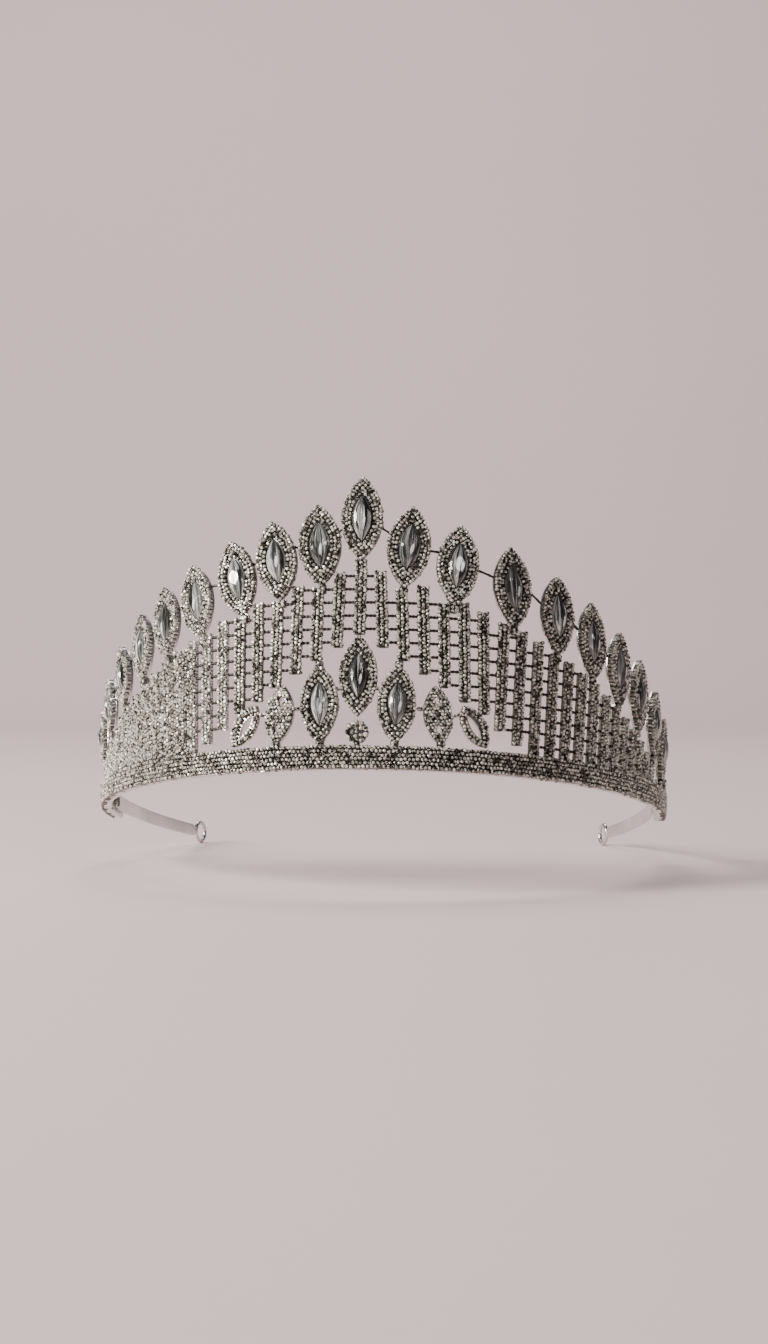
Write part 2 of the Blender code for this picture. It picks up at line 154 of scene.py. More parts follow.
def to_frame(points):
    """Wall millimetres turned, shifted and scaled into the frame's metres."""
    return (np.asarray(points) @ TURN.T + SHIFT) * MM


low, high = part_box("base_band")
print("tilt", round(math.degrees(tilt), 2), "degrees; band starts at", [round(v, 4) for v in low])
print("worked out:", np.round(to_frame(wall(0.0, 0.0, 3.0)), 4))

# %% [markdown]
# ## Putting shapes into meshes
# A piece is gathered from many closed shells: a plate, a few hundred cups, a few hundred claws.
# A bundle keeps their points and faces as arrays and hands them to Blender in one go, which is
# much faster than adding faces one by one. Each shell is turned the right way out by the sign of
# its volume.

# %% Which way a shell faces
def signed_volume(points, faces):
    """Sum over fans of triangles of a . (b x c) / 6; negative when the shell is inside out."""
    total = 0.0
    for block in faces:
        first = points[block[:, 0]]
        for corner in range(1, block.shape[1] - 1):
            second, third = points[block[:, corner]], points[block[:, corner + 1]]
            total += np.einsum("ij,ij->", first, np.cross(second, third))
    return total / 6


def facing_out(points, faces):
    """The faces, reversed if they point inwards."""
    if signed_volume(points - points.mean(0), faces) < 0:
        return [block[:, ::-1] for block in faces]
    return faces


wedge = np.array([[0, 0, 0], [1, 0, 0], [0, 1, 0], [0, 0, 1]], float)
wedge_sides = [np.array([[0, 2, 1], [0, 1, 3], [1, 2, 3], [0, 3, 2]])]
print("a corner cut off a cube holds", round(signed_volume(wedge, wedge_sides), 3), "of it")

# %% [markdown]
# Besides its faces, every stone in a bundle carries its own random tone, and some shells a
# pattern, which says where each point lies on the piece. The finishes read both later.

# %% The bundle
def to_scene(name, data):
    """An object that shows the data, joined to the scene."""
    thing = bpy.data.objects.new(name, data)
    bpy.context.scene.collection.objects.link(thing)
    return thing


class Bundle:
    """Closed shells gathered into one piece, each with its finish, tone and pattern."""

    def __init__(self):
        self.points, self.tones, self.patterns = [], [], []
        self.corners, self.sizes, self.finishes, self.smooth = [], [], [], []
        self.used, self.count = [], 0

    def add(self, points, faces, finishes, tone=0.5, smooth=False, pattern=None):
        """faces is a list of arrays with one column for each corner, and finishes is one
        material, or one array of materials' numbers for each block with their list."""
        points = np.asarray(points, float).reshape(-1, 3)
        if not isinstance(finishes, tuple):
            finishes = ([finishes], [np.zeros(len(block), int) for block in faces])
        choices, numbers = finishes
        for choice in choices:
            if choice not in self.used:
                self.used.append(choice)
        renumber = np.array([self.used.index(choice) for choice in choices])
        for block, number in zip(faces, numbers):
            self.corners.append((block + self.count).ravel())
            self.sizes.append(np.full(len(block), block.shape[1]))
            self.finishes.append(renumber[number])
            self.smooth.append(np.full(len(block), smooth))
        self.points.append(points)
        self.tones.append(np.broadcast_to(tone, len(points)))
        self.patterns.append(np.zeros((len(points), 3)) if pattern is None else pattern)
        self.count += len(points)

    def build(self, name, body, stands_for):
        """The piece in the frame, riding on its body in place of the nodes it stands for."""
        mesh = bpy.data.meshes.new(name)
        corners, sizes = np.concatenate(self.corners), np.concatenate(self.sizes)
        mesh.vertices.add(self.count)
        mesh.vertices.foreach_set("co", to_frame(np.concatenate(self.points)).ravel())
        mesh.loops.add(len(corners))
        mesh.loops.foreach_set("vertex_index", corners)
        mesh.polygons.add(len(sizes))
        mesh.polygons.foreach_set("loop_start", np.cumsum(sizes) - sizes)
        mesh.polygons.foreach_set("material_index", np.concatenate(self.finishes))
        mesh.polygons.foreach_set("use_smooth", np.concatenate(self.smooth))
        tone = mesh.attributes.new("tone", "FLOAT", "POINT")
        tone.data.foreach_set("value", np.concatenate(self.tones).astype(np.float32))
        pattern = mesh.attributes.new("pattern", "FLOAT_VECTOR", "POINT")
        pattern.data.foreach_set("vector", np.concatenate(self.patterns).astype(np.float32).ravel())
        for material in self.used:
            mesh.materials.append(material)
        mesh.update(calc_edges=True)
        piece = to_scene(name, mesh)
        if body:
            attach(piece, body)
        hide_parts(*stands_for)
        return piece


print("bundle ready")

# %% [markdown]
# Most shells are rings of points stacked one on another. One function joins them: neighbouring
# rings with four-cornered faces, and either a cap on each end or the last ring to the first.

# %% Shells from stacked rings
def ring_faces(levels, around, capped=True):
    """Faces of a shell of so many rings with so many points each."""
    place = np.arange(levels * around).reshape(levels, around)
    low = place if not capped else place[:-1]
    high = np.roll(place, -1, axis=0) if not capped else place[1:]
    nxt = np.roll(low, -1, axis=1), np.roll(high, -1, axis=1)
    faces = [np.stack([low, nxt[0], nxt[1], high], -1).reshape(-1, 4)]
    if capped:
        faces += [place[:1, ::-1], place[-1:]]
    return faces


def add_shell(bundle, rings, finish, capped=True, **more):
    """A shell through rings given as an array (level, place around, coordinate)."""
    points = np.asarray(rings).reshape(-1, 3)
    faces = facing_out(points, ring_faces(rings.shape[0], rings.shape[1], capped))
    bundle.add(points, faces, finish, **more)


def repeated(faces, count, stride):
    """The same faces for many copies of a shape that has so many points."""
    start = np.arange(count)[:, None, None] * stride
    return [(block[None] + start).reshape(-1, block.shape[1]) for block in faces]


print("a shell of 3 rings of 8 has", len(ring_faces(3, 8)[0]), "sides and 2 caps")

# %% [markdown]
# ## Finishes
# Shader maths reads best as plain arithmetic. The small class below wraps one output of a node;
# adding or multiplying it adds the Math node that does so. Any other node comes from one method
# of the finish below, which sets the node up and plugs in its values.

# %% Writing shaders as expressions
class Number:
    """A number that varies over a surface. Arithmetic on it adds Math nodes."""

    def __init__(self, finish, socket):
        self.finish, self.socket = finish, socket

    def math(self, operation, *others):
        inputs = dict(enumerate((self, *others)))
        return self.finish.value("Math", {"operation": operation}, inputs)

    def __add__(self, other):
        return self.math("ADD", other)

    def __mul__(self, other):
        return self.math("MULTIPLY", other)

    def __sub__(self, other):
        return self.math("SUBTRACT", other)

    def __rsub__(self, other):
        return self * -1.0 + other

    def __truediv__(self, other):
        return self.math("DIVIDE", other)

    __radd__, __rmul__ = __add__, __mul__

    def clamped(self):
        return self.math("MAXIMUM", 0.0).math("MINIMUM", 1.0)


print("a number's methods:", [name for name in vars(Number) if name != "__doc__"][1:])

# %% [markdown]
# A finish is one Principled material. What is the same all over is set on its sockets, and only
# what varies over the surface is linked.

# %% A finish and its nodes
class Finish:
    """A Principled material whose constants are set on its sockets."""

    def __init__(self, name, **constants):
        self.material = bpy.data.materials.new(name)
        self.material.use_nodes = True
        self.tree = self.material.node_tree
        self.shader = self.tree.nodes["Principled BSDF"]
        for key, value in constants.items():
            self.shader.inputs[key.replace("_", " ")].default_value = value

    def node(self, kind, settings, inputs):
        """A node of that type with its settings made first, then its sockets set or linked."""
        node = self.tree.nodes.new("ShaderNode" + kind)
        for key, value in settings.items():
            if key == "stops":
                for number, (place, shade) in enumerate(value):
                    elements = node.color_ramp.elements
                    stop = elements[number] if number < 2 else elements.new(place)
                    stop.position, stop.color = place, (*shade, 1.0)
            else:
                setattr(node, key, value)
        for key, value in inputs.items():
            self.plug(value, node.inputs[key])
        return node

    def plug(self, value, socket):
        if isinstance(value, Number):
            self.tree.links.new(value.socket, socket)
        elif isinstance(value, bpy.types.NodeSocket):
            self.tree.links.new(value, socket)
        else:
            socket.default_value = value

    def value(self, kind, settings, inputs, output=0):
        return Number(self, self.node(kind, settings, inputs).outputs[output])

    def attribute(self, name, output="Fac"):
        return self.node("Attribute", {"attribute_name": name}, {}).outputs[output]

    def position(self):
        return self.node("TexCoord", {}, {}).outputs["Object"]

    def noise(self, vector, scale, detail=2.0, roughness=0.5):
        inputs = {"Vector": vector, "Scale": scale, "Detail": detail, "Roughness": roughness}
        return self.value("TexNoise", {}, inputs)

    def blended(self, share, low, high):
        """Colour between a low colour or socket and a high colour, by a share from 0 to 1."""
        inputs = {0: share, 6: low if isinstance(low, bpy.types.NodeSocket) else (*low, 1.0)}
        return self.node("Mix", {"data_type": "RGBA"}, {**inputs, 7: (*high, 1.0)}).outputs[2]

    def bump(self, height, distance, strength=1.0):
        inputs = {"Height": height, "Distance": distance, "Strength": strength}
        self.plug(self.node("Bump", {}, inputs).outputs[0], self.shader.inputs["Normal"])

    def varies(self, **links):
        for key, value in links.items():
            self.plug(value, self.shader.inputs[key.replace("_", " ")])
        return self.material


print("expressions ready")

# %% [markdown]
# The small stones are glass with a mirrored back. What the eye sees is not one colour: light
# enters, meets the mirrored facets below and leaves some patches white and others nearly black.
# Those patches are painted into the colour: a cell pattern much finer than a stone paints them
# as painted highlights and painted shade, and each stone's own tone shifts them, so no two
# neighbours match. A clear coat stands for the polished top of the glass.

# %% Small stones
def make_small_crystal():
    finish = Finish("small_crystal", Metallic=0.25, Coat_Weight=0.15, Coat_Roughness=0.05)
    place = finish.position()
    cells = finish.value("TexVoronoi", {}, {"Vector": place, "Scale": 1900.0}, "Color")
    tone = Number(finish, finish.attribute("tone"))
    # painted highlights and painted shade: the mirrored facets' white and near-black patches
    painted_sparkle = (cells * 1.9 + tone * 0.7 - 0.84).clamped()
    colour = finish.blended(painted_sparkle, (0.02, 0.017, 0.013), (0.97, 0.93, 0.83))
    return finish.varies(Base_Color=colour, Roughness=0.14 + 0.24 * cells)


small_crystal = make_small_crystal()
print("made", small_crystal.name)

# %% [markdown]
# The metal is one silver in five states. The cups are cast and lie in each other's shade, and that
# shade is painted into their silver: painted dark and a little rough. The claws are rubbed bright
# when the stones are set. The plates are plated, with the faint pebbled skin that casting leaves.
# The cross wires are painted nearly black as painted shade, and fresh solder is the palest.

# %% Five silvers
def make_silver(name, dark, bright, rough, grain, depth):
    """Silver between two shades, rougher where the noise is low, with a cast skin."""
    finish = Finish(name, Metallic=1.0)
    place = finish.position()
    cloud = finish.noise(place, 220.0, 4.0)
    fine = finish.noise(place, grain, 3.0, 0.6)
    finish.bump(fine, depth)
    share = (cloud * 0.6 + fine * 0.5 - 0.05).clamped()
    roughness = (rough[0] + (rough[1] - rough[0]) * (1.0 - share)).clamped()
    return finish.varies(Base_Color=finish.blended(share, dark, bright), Roughness=roughness)


SILVERS = {  # dark shade, bright shade, roughness from and to, grain's scale and depth
    # painted shade: the cups are painted dark for the shade they lie in
    "cup_painted_shade_silver": ((0.015, 0.013, 0.011), (0.34, 0.32, 0.28), (0.3, 0.55), 1700, 3e-5),
    "claw_silver": ((0.16, 0.15, 0.135), (0.80, 0.77, 0.70), (0.12, 0.3), 2500, 1e-5),
    "plate_silver": ((0.50, 0.49, 0.47), (0.84, 0.83, 0.80), (0.12, 0.34), 1400, 3e-5),
    # painted shade: the cross wires are painted nearly black
    "wire_painted_shade_silver": ((0.012, 0.011, 0.010), (0.10, 0.095, 0.085), (0.3, 0.5), 1800, 2e-5),
    "solder_silver": ((0.55, 0.54, 0.52), (0.90, 0.89, 0.86), (0.15, 0.4), 900, 6e-5),
}
silvers = [make_silver(name, *row) for name, row in SILVERS.items()]
cup_painted_shade_silver, claw_silver, plate_silver, wire_painted_shade_silver, solder_silver = silvers
print("made", *SILVERS)

# %% [markdown]
# The arms are drawn strip: fine lines run along them, and the rings are bent from round wire
# with the same polish. The lines follow the strip, so the finish reads a pattern that each point
# carries: how far along the strip and how far across it lies.

# %% Drawn silver for the arms
def make_drawn_silver():
    finish = Finish("drawn_silver", Metallic=1.0)
    along = finish.attribute("pattern", "Vector")
    inputs = {"Vector": along, "Scale": (0.35, 26.0, 26.0)}
    stretched = finish.node("Mapping", {}, inputs).outputs[0]
    lines = finish.noise(stretched, 1.0, 5.0, 0.6)
    cloud = finish.noise(finish.position(), 90.0, 3.0)
    finish.bump(lines, 6e-6)
    share = (lines * 1.3 + cloud * 0.9 - 0.62).clamped()
    colour = finish.blended(share, (0.36, 0.345, 0.34), (0.92, 0.90, 0.885))
    return finish.varies(Base_Color=colour, Roughness=0.14 + 0.16 * (1.0 - share))


drawn_silver = make_drawn_silver()
print("made", drawn_silver.name)

# %% [markdown]
# The marquise stones are clear and foil-backed. Their lower facets run from tip to tip, and their
# reflections show through the top as long light and dark splinters, here painted into the colour.
# Lines from tip to tip are easy to name: with u across and v along the stone, u / (1 - v^2) is
# constant on each. Noise that changes fast with it and slowly with v paints the splinters, and
# cells in place of clouds give them hard edges. A painted highlight, the flare, stands below the
# middle, where the foil would throw the window back: painted white inside an ellipse whose place
# differs from stone to stone.

# %% Marquise crystal
def make_marquise_crystal():
    finish = Finish("marquise_crystal", Coat_Weight=0.3, Coat_Roughness=0.02)
    pattern = finish.attribute("pattern", "Vector")
    parts = finish.node("SeparateXYZ", {}, {0: pattern})
    across, along, seed = (Number(finish, parts.outputs[i]) for i in range(3))
    reach = (1.04 - along * along).math("MAXIMUM", 0.08)
    line = across / reach
    inputs = {0: line * 2.6, 1: along * 0.55 + line * 0.4, 2: seed}
    place = finish.node("CombineXYZ", {}, inputs).outputs[0]
    square_cells = {"distance": "CHEBYCHEV"}
    painted_splinter = finish.value("TexVoronoi", square_cells, {"Vector": place, "Scale": 1.3}, "Color")
    inputs = {0: line * 7.0, 1: along * 0.8 - line * 0.6, 2: seed}
    fine_place = finish.node("CombineXYZ", {}, inputs).outputs[0]
    fine = finish.value("TexVoronoi", {}, {"Vector": fine_place, "Scale": 1.3}, "Color")
    # painted reflections: the lower facets' light and dark splinters
    share = (painted_splinter * 0.75 + fine * 0.4 - 0.1).clamped()
    stops = [(0.0, (0.012, 0.012, 0.011)), (1.0, (0.98, 0.98, 0.96))]
    stops += [(0.36, (0.055, 0.056, 0.052)), (0.54, (0.26, 0.26, 0.245))]
    stops += [(0.72, (0.74, 0.74, 0.71))]
    colour = finish.node("ValToRGB", {"stops": stops}, {0: share}).outputs[0]
    # painted highlight: the flare, painted white where the foil would throw the window back
    beside = across - (seed * 5.0).math("SINE") * 0.10 - 0.24 - along * 0.25
    below = along - (seed * 3.0).math("SINE") * 0.10 + 0.20
    painted_flare = (5.0 - beside * beside * 230.0 - below * below * 75.0 + fine * 3.0 - 1.5).clamped()
    colour = finish.blended(painted_flare, colour, (1.0, 1.0, 1.0))
    finish.bump(painted_splinter * 0.7 + fine * 0.4, 2.0e-4, 0.8)
    metallic = 0.48 - 0.35 * painted_flare
    return finish.varies(Base_Color=colour, Roughness=0.06 + 0.14 * fine, Metallic=metallic)


marquise_crystal = make_marquise_crystal()
print("made", marquise_crystal.name)

# %% [markdown]
# ## One small stone
# A pave stone is an eight-sided cup with four claws and a cut stone: a table, a crown of sixteen
# triangles down to the girdle, and the cup's rim below it. It repeats thousands of times, so it
# has only a few dozen faces. Its rings are circles of eight points at chosen radii and heights.

# %% The stone and its cup
PAVE_PITCH = 0.93
PAVE_RADIUS = 0.465
CROWN_RISE = 0.36


def circle(radius, height, turn=0.0, sides=8):
    """Points of a level circle: x = r cos(t), y = r sin(t)."""
    angle = (np.arange(sides) + turn) * 2 * math.pi / sides
    return np.stack([radius * np.cos(angle), radius * np.sin(angle), np.full(sides, height)], -1)


def small_stone(radius, cup):
    """Points, faces and finishes of a stone whose cup has that height, standing on z = 0."""
    rings = [
        circle(0.80 * radius, 0.0),
        circle(1.02 * radius, cup),
        circle(0.95 * radius, cup + 0.06),
        circle(0.52 * radius, cup + CROWN_RISE, 0.5),
    ]
    points = np.concatenate(rings)
    i = np.arange(8)
    j = (i + 1) % 8
    sides = np.concatenate([np.stack([a + i, a + j, a + 8 + j, a + 8 + i], -1) for a in (0, 8)])
    crown = np.concatenate(
        [np.stack([16 + i, 16 + j, 24 + i], -1), np.stack([24 + i, 16 + j, 24 + j], -1)]
    )
    caps = np.stack([i[::-1], 24 + i])
    claw_angle = (np.arange(4) + 0.5) * math.pi / 2
    heading = np.stack([np.cos(claw_angle), np.sin(claw_angle), 0 * claw_angle], -1)
    aside = np.stack([-heading[:, 1], heading[:, 0], 0 * claw_angle], -1)
    lift = np.array([0.0, 0.0, 1.0])
    foot, half = 0.94 * radius, 0.20 * radius
    corners = [(foot + a * half, b * half) for a, b in ((-1, -1), (1, -1), (1, 1), (-1, 1))]
    claws = [heading * out + aside * side + lift * (cup - 0.12) for out, side in corners]
    claws.append(heading * 0.80 * radius + lift * (cup + 0.26))
    claws = np.stack(claws, 1).reshape(-1, 3)
    start = 32 + 5 * np.arange(4)
    flanks = [np.stack([start + a, start + (a + 1) % 4, start + 4], -1) for a in range(4)]
    flanks = np.concatenate(flanks)
    bases = np.stack([start + 3, start + 2, start + 1, start], -1)
    faces = [np.concatenate([crown, flanks]), np.concatenate([sides, bases]), caps]
    cup_number, stone_number, claw_number = 0, 1, 2
    numbers = [
        np.repeat([stone_number, claw_number], [len(crown), len(flanks)]),
        np.repeat([cup_number, claw_number], [len(sides), len(bases)]),
        np.array([cup_number, stone_number]),
    ]
    return np.concatenate([points, claws]), faces, numbers


sample = small_stone(PAVE_RADIUS, 1.0)
print("a stone has", sum(len(block) for block in sample[1]), "faces")

# %% [markdown]
# Stones are never set quite level. Each copy is turned a little about its own axis and tipped a
# few degrees, at random but always the same way for the same run, and that is what makes the
# field of stones sparkle: neighbours mirror different parts of the room. Further left than the
# limit below, the cups are painted as bright as the plates: painted light on cups that the eye
# sees from the side, in place of the painted shade that the other cups carry.

# %% Setting a field of stones
dice = np.random.default_rng(7)
TIP = math.radians(9.0)
SETTING_FINISHES = [cup_painted_shade_silver, small_crystal, claw_silver]
# painted light: at the far left the cups take the plates' bright silver
PAINTED_LIGHT_FINISHES = [plate_silver, small_crystal, claw_silver]
PAINTED_LIGHT_FROM = -33.0  # along the band


def set_stones(bundle, centres, axes, radius=PAVE_RADIUS, cup=1.0, rubbed=False, stray=0.07):
    """A stone at each centre, its axes given as rows: across, up and out. Each strays from its
    place by a little, along and across."""
    points, faces, numbers = small_stone(radius, cup)
    count = len(centres)
    off = dice.normal(0.0, stray, (count, 2)).clip(-2 * stray, 2 * stray)
    centres = centres + off[:, :1] * axes[:, 0] + off[:, 1:] * axes[:, 1]
    spin = dice.uniform(-0.35, 0.35, (count, 1))
    tip = dice.normal(0.0, TIP, (2, count, 1)).clip(-2.2 * TIP, 2.2 * TIP)
    across, up, out = axes[:, 0], axes[:, 1], axes[:, 2]
    cos, sin = np.cos(spin), np.sin(spin)
    across, up = cos * across + sin * up, cos * up - sin * across
    tipped = unit(out + tip[0] * across + tip[1] * up)
    across = unit(across - tip[0] * out)
    up = np.cross(tipped, across)
    pivot = np.array([0.0, 0.0, cup])
    upright = points * (1.0, 1.0, 0.0) + (points - pivot) * (0.0, 0.0, 1.0)
    turned = np.einsum("vk,nkj->nvj", upright, np.stack([across, up, tipped], 1))
    placed = centres[:, None] + out[:, None] * cup + turned
    tone = np.repeat(dice.uniform(0.0, 1.0, count), len(points))
    numbers = [np.tile(number, count) for number in numbers]
    faces = repeated(faces, count, len(points))
    # painted light at the far left, painted shade elsewhere, through the cups' silver
    finishes = PAINTED_LIGHT_FINISHES if rubbed else SETTING_FINISHES
    bundle.add(placed, faces, (finishes, numbers), tone=tone)
    return count


print("tipped by about", round(math.degrees(TIP)), "degrees")

# %% [markdown]
# ## Base band
# The band is a silver strip with six rows of stones, each row half a stone on from the next as
# in brickwork. The strip is a rounded rectangle carried along s. Its lower edge stays bare and
# polished, which shows as a thin bright line under the stones.

# %% Band strip and its stones
PLATE_FRONT = 1.3
BAND_CUP = 1.3
BAND_ROWS = 6
LAST_IN_ROW = 139  # stones on each side of the middle one
LIP_FRONT, LIP_HEIGHT = 2.05, 0.34


def rounded_box(low, high, radius, steps=3):
    """Corner points of a rectangle with quarter circles for corners, counter-clockwise."""
    (x0, y0), (x1, y1) = low, high
    angle = np.linspace(0.0, math.pi / 2, steps + 1)
    middles = ((x1 - radius, y0 + radius), (x1 - radius, y1 - radius))
    middles += ((x0 + radius, y1 - radius), (x0 + radius, y0 + radius))
    quarters = []
    for number, (x, y) in enumerate(middles):
        turn = angle + (number - 1) * math.pi / 2
        quarters.append(np.stack([x + radius * np.cos(turn), y + radius * np.sin(turn)], -1))
    return np.concatenate(quarters)


def add_band():
    bundle = Bundle()
    section = rounded_box((0.0, 0.0), (PLATE_FRONT, BAND_HEIGHT), 0.3)
    s = np.linspace(-BAND_REACH, BAND_REACH, 261)
    rings = wall(s[:, None], section[None, :, 1], section[None, :, 0])
    add_shell(bundle, rings, plate_silver)
    lip = rounded_box((PLATE_FRONT - 0.3, 0.0), (LIP_FRONT, LIP_HEIGHT), 0.12)
    rings = wall(s[:, None], lip[None, :, 1], lip[None, :, 0])
    add_shell(bundle, rings, plate_silver)
    steps = np.arange(-LAST_IN_ROW, LAST_IN_ROW + 1)
    along, row = (grid.ravel() for grid in np.meshgrid(steps, np.arange(BAND_ROWS)))
    place = (along + 0.5 * (row % 2) - 0.25) * PAVE_PITCH
    height = (row + 0.5) * BAND_HEIGHT / BAND_ROWS
    centres = wall(place, height, PLATE_FRONT - 0.05)
    stones = set_stones(bundle, centres, wall_axes(place, height), cup=BAND_CUP)
    bundle.build("base_band_pave", "ornament", ["base_band"])
    return stones


print("stones in the band:", add_band())

# %% [markdown]
# ## The crown's plan
# The upright marquises stand along a line that falls away to both sides, each a little shorter
# than the one before. A jeweller sets them by eye against the bars, so the plan is counted in
# bars and the two sides differ: on the right they lean in, on the left they lean out. The same
# few numbers place the lower motif: three marquises, two open leaves and two slanted leaves.

# %% Where the marquises and leaves stand
BAR_PITCH = 4.734
CROWN_PAIRS = 9
LOW_MIDDLE = (0.0, 12.4, 19.4, 9.0, 0.0)  # s, foot, length, width and lean in degrees
LOW_SIDE = (8.5, 6.0, 19.0, 9.0, 1.0)
OPEN_LEAF = (19.1, 6.0, 14.6, 7.1, -7.4)
SLANT_LEAF = (30.0, 6.3, 11.0, 6.0, -36.0)
MIDDLE_MARQUISE = (0.0, 50.4, 20.8, 9.8, 0.0)
CROWN_LENGTH = (20.5, 0.012)  # near the middle, and how much shorter for each millimetre along
SLENDERNESS = 0.505  # width over length
RIGHT_FEET = (2.0, 4.4, 7.6, 10.25, 12.8, 15.15, 17.55, 20.2, 22.4)  # in bars from the middle
RIGHT_LEAN = (5.0, 3.0, -7.5, -6.0, -8.0, -5.5, -7.0, -8.0, -8.0)
RIGHT_SHRINK = 0.00025
RIGHT_TOP = (68.0, 0.345, 0.0008)
LEFT_FEET = (1.82, 3.8, 5.8, 8.4, 10.9, 13.2, 15.5, 18.0, 20.6)
LEFT_LEAN = (3.7, 7.5, 11.0, 8.0, 2.0, 2.0, 7.0, 8.0, 8.0)
LEFT_SHRINK = 0.0006
LEFT_TOP = (67.3, 0.27, 0.0016)


def crown_marquise(k):
    """Foot, length, width and lean of the crown's marquise k, counted from the middle one. Its
    tip lies on its side's line z = a - b s - c s^2, and its foot hangs a length below."""
    if k == 0:
        return MIDDLE_MARQUISE
    side, feet, leans, shrink, top = 1, RIGHT_FEET, RIGHT_LEAN, RIGHT_SHRINK, RIGHT_TOP
    if k < 0:
        side, feet, leans, shrink, top = -1, LEFT_FEET, LEFT_LEAN, LEFT_SHRINK, LEFT_TOP
    s, lean = feet[abs(k) - 1] * BAR_PITCH, leans[abs(k) - 1]
    length = CROWN_LENGTH[0] - CROWN_LENGTH[1] * s - shrink * s * s
    tip = s + length * math.sin(math.radians(lean))
    height = top[0] - top[1] * tip - top[2] * tip * tip
    foot = height - length * math.cos(math.radians(lean))
    return side * s, foot, length, SLENDERNESS * length, side * lean


def mirrored(shape, side):
    s, foot, length, width, lean = shape
    return side * s, foot, length, width, side * lean


def seat(s, z, lean=0.0):
    """Origin and axes (across, up, out as rows) of a flat piece, turned in its own plane."""
    across, up, out = wall_axes(s, z)
    turn = math.radians(lean)
    leaned = math.cos(turn) * across - math.sin(turn) * up
    up = math.sin(turn) * across + math.cos(turn) * up
    return wall(s, z, 0.0), np.stack([leaned, up, out])


def on_seat(place, x, z, n):
    """Points of a flat piece: origin + x across + z up + n out."""
    x, z, n = np.broadcast_arrays(x, z, n)
    return place[0] + np.stack([x, z, n], -1) @ place[1]


crown_plan = {k: crown_marquise(k) for k in range(-CROWN_PAIRS, CROWN_PAIRS + 1)}
print("the crown's lengths:", [round(shape[2], 1) for shape in crown_plan.values()])

# %% [markdown]
# A marquise outline is two arcs that meet in two points. Its arcs have one radius R and centres
# on the cross axis, so an outline further in is the same pair of arcs with R made smaller. That
# one rule gives the plate's rounded edge, the rows of small stones and the stone's own outline.

# %% The marquise outline
def arcs(length, width):
    """Radius of the arcs and how far their centres lie beyond the axis."""
    radius = (length**2 + width**2) / (4 * width)
    return radius, radius - width / 2


def marquise(length, width, inset=0.0, count=48):
    """Outline points (x, z) about the marquise's middle, moved inwards by the inset."""
    radius, beyond = arcs(length, width)
    radius = radius - inset
    turn = math.acos(beyond / radius)
    angle = turn * (4 * np.arange(count // 2) / count - 1)
    x = radius * np.cos(angle) - beyond
    z = radius * np.sin(angle)
    return np.concatenate([np.stack([x, z], -1), np.stack([-x, -z], -1)])


def depth_inside(x, z, length, width):
    """Distance from the marquise's edge, positive inside."""
    radius, beyond = arcs(length, width)
    return radius - np.hypot(np.abs(x) + beyond, z)


HALO_PITCH = 0.88


def halo(length, width, first_inset, rows, keep):
    """Places (x, z) of stones in rows that follow the outline inwards, each at even steps of
    angle about its arc's centre; keep says which stay."""
    radius, beyond = arcs(length, width)
    places = []
    for row in range(rows):
        r = radius - first_inset - row * HALO_PITCH
        if r <= beyond * 1.0005:
            break
        turn = math.acos(beyond / r)
        count = max(2, round(2 * turn * r / PAVE_PITCH))
        angle = turn * (2 * np.arange(count) / count - 1)
        side = np.stack([r * np.cos(angle) - beyond, r * np.sin(angle)], -1)
        places += [side, -side]
    places = np.concatenate(places)
    return places[keep(places[:, 0], places[:, 1])]


print("outline of 20 x 9.6 mm: radius", round(arcs(20.0, 9.6)[0], 2), "mm")

# %% [markdown]
# ## Marquise settings
# Each setting is a silver plate with two or three rows of small stones round a thin bezel. The
# jeweller cuts the plate first, then solders the bezel, then the cups. The plate's edge shows
# from the side, so it is rounded: rings of the outline at growing insets towards its faces.

# %% Plate and bezel
SETTING_BACK, SETTING_PLATE = 0.7, 1.5
BEZEL = 0.18


def marquise_rings(place, middle, length, width, levels):
    """The outline about a middle on the seat, once for each (inset, depth) of the levels."""
    rings = []
    for inset, n in levels:
        x, z = marquise(length, width, inset).T
        rings.append(on_seat(place, x, z + middle, n))
    return np.stack(rings)


def add_plate(bundle, place, length, width, back, front):
    """Plate with softly rounded edges between two depths."""
    levels = ((0.30, back), (0.08, back + 0.10), (0.0, back + 0.28))
    levels += ((0.0, front - 0.15), (0.12, front))
    add_shell(bundle, marquise_rings(place, length / 2, length, width, levels), plate_silver)


def pocket_size(length, width):
    """Length and width of the marquise stone's pocket, which leaves room for two or three rows."""
    return 0.58 * length, 0.52 * width


def add_bezel(bundle, place, length, width):
    """Thin wall round the pocket: up its outside, over and down its inside."""
    levels = ((0.0, 1.0), (0.0, 2.3), (0.05, 2.42))
    levels += ((BEZEL - 0.05, 2.40), (BEZEL, 2.3), (BEZEL, 1.0))
    rings = marquise_rings(place, length / 2, *pocket_size(length, width), levels)
    add_shell(bundle, rings, claw_silver, capped=False)


middle_pocket = pocket_size(*MIDDLE_MARQUISE[2:4])
print("the middle stone's pocket is", *(round(v, 1) for v in middle_pocket), "mm")

# %% [markdown]
# The rows of the halo follow the plate's edge inwards, and one last row follows the bezel, so
# that the stones close up to it all round.

# %% Halo
SETTING_CUP = 1.1
HALO_INSET = 0.30  # of the outermost row's centres
BEZEL_ROW = 0.44  # from the pocket's edge to the last row's centres
HALO_CLEAR = 0.92  # the rows before it keep at least this far from the pocket


def stones_on_seat(bundle, place, x, z, n, **more):
    centres = on_seat(place, x, z, n)
    axes = np.broadcast_to(place[1], (len(centres), 3, 3))
    return set_stones(bundle, centres, axes, **more)


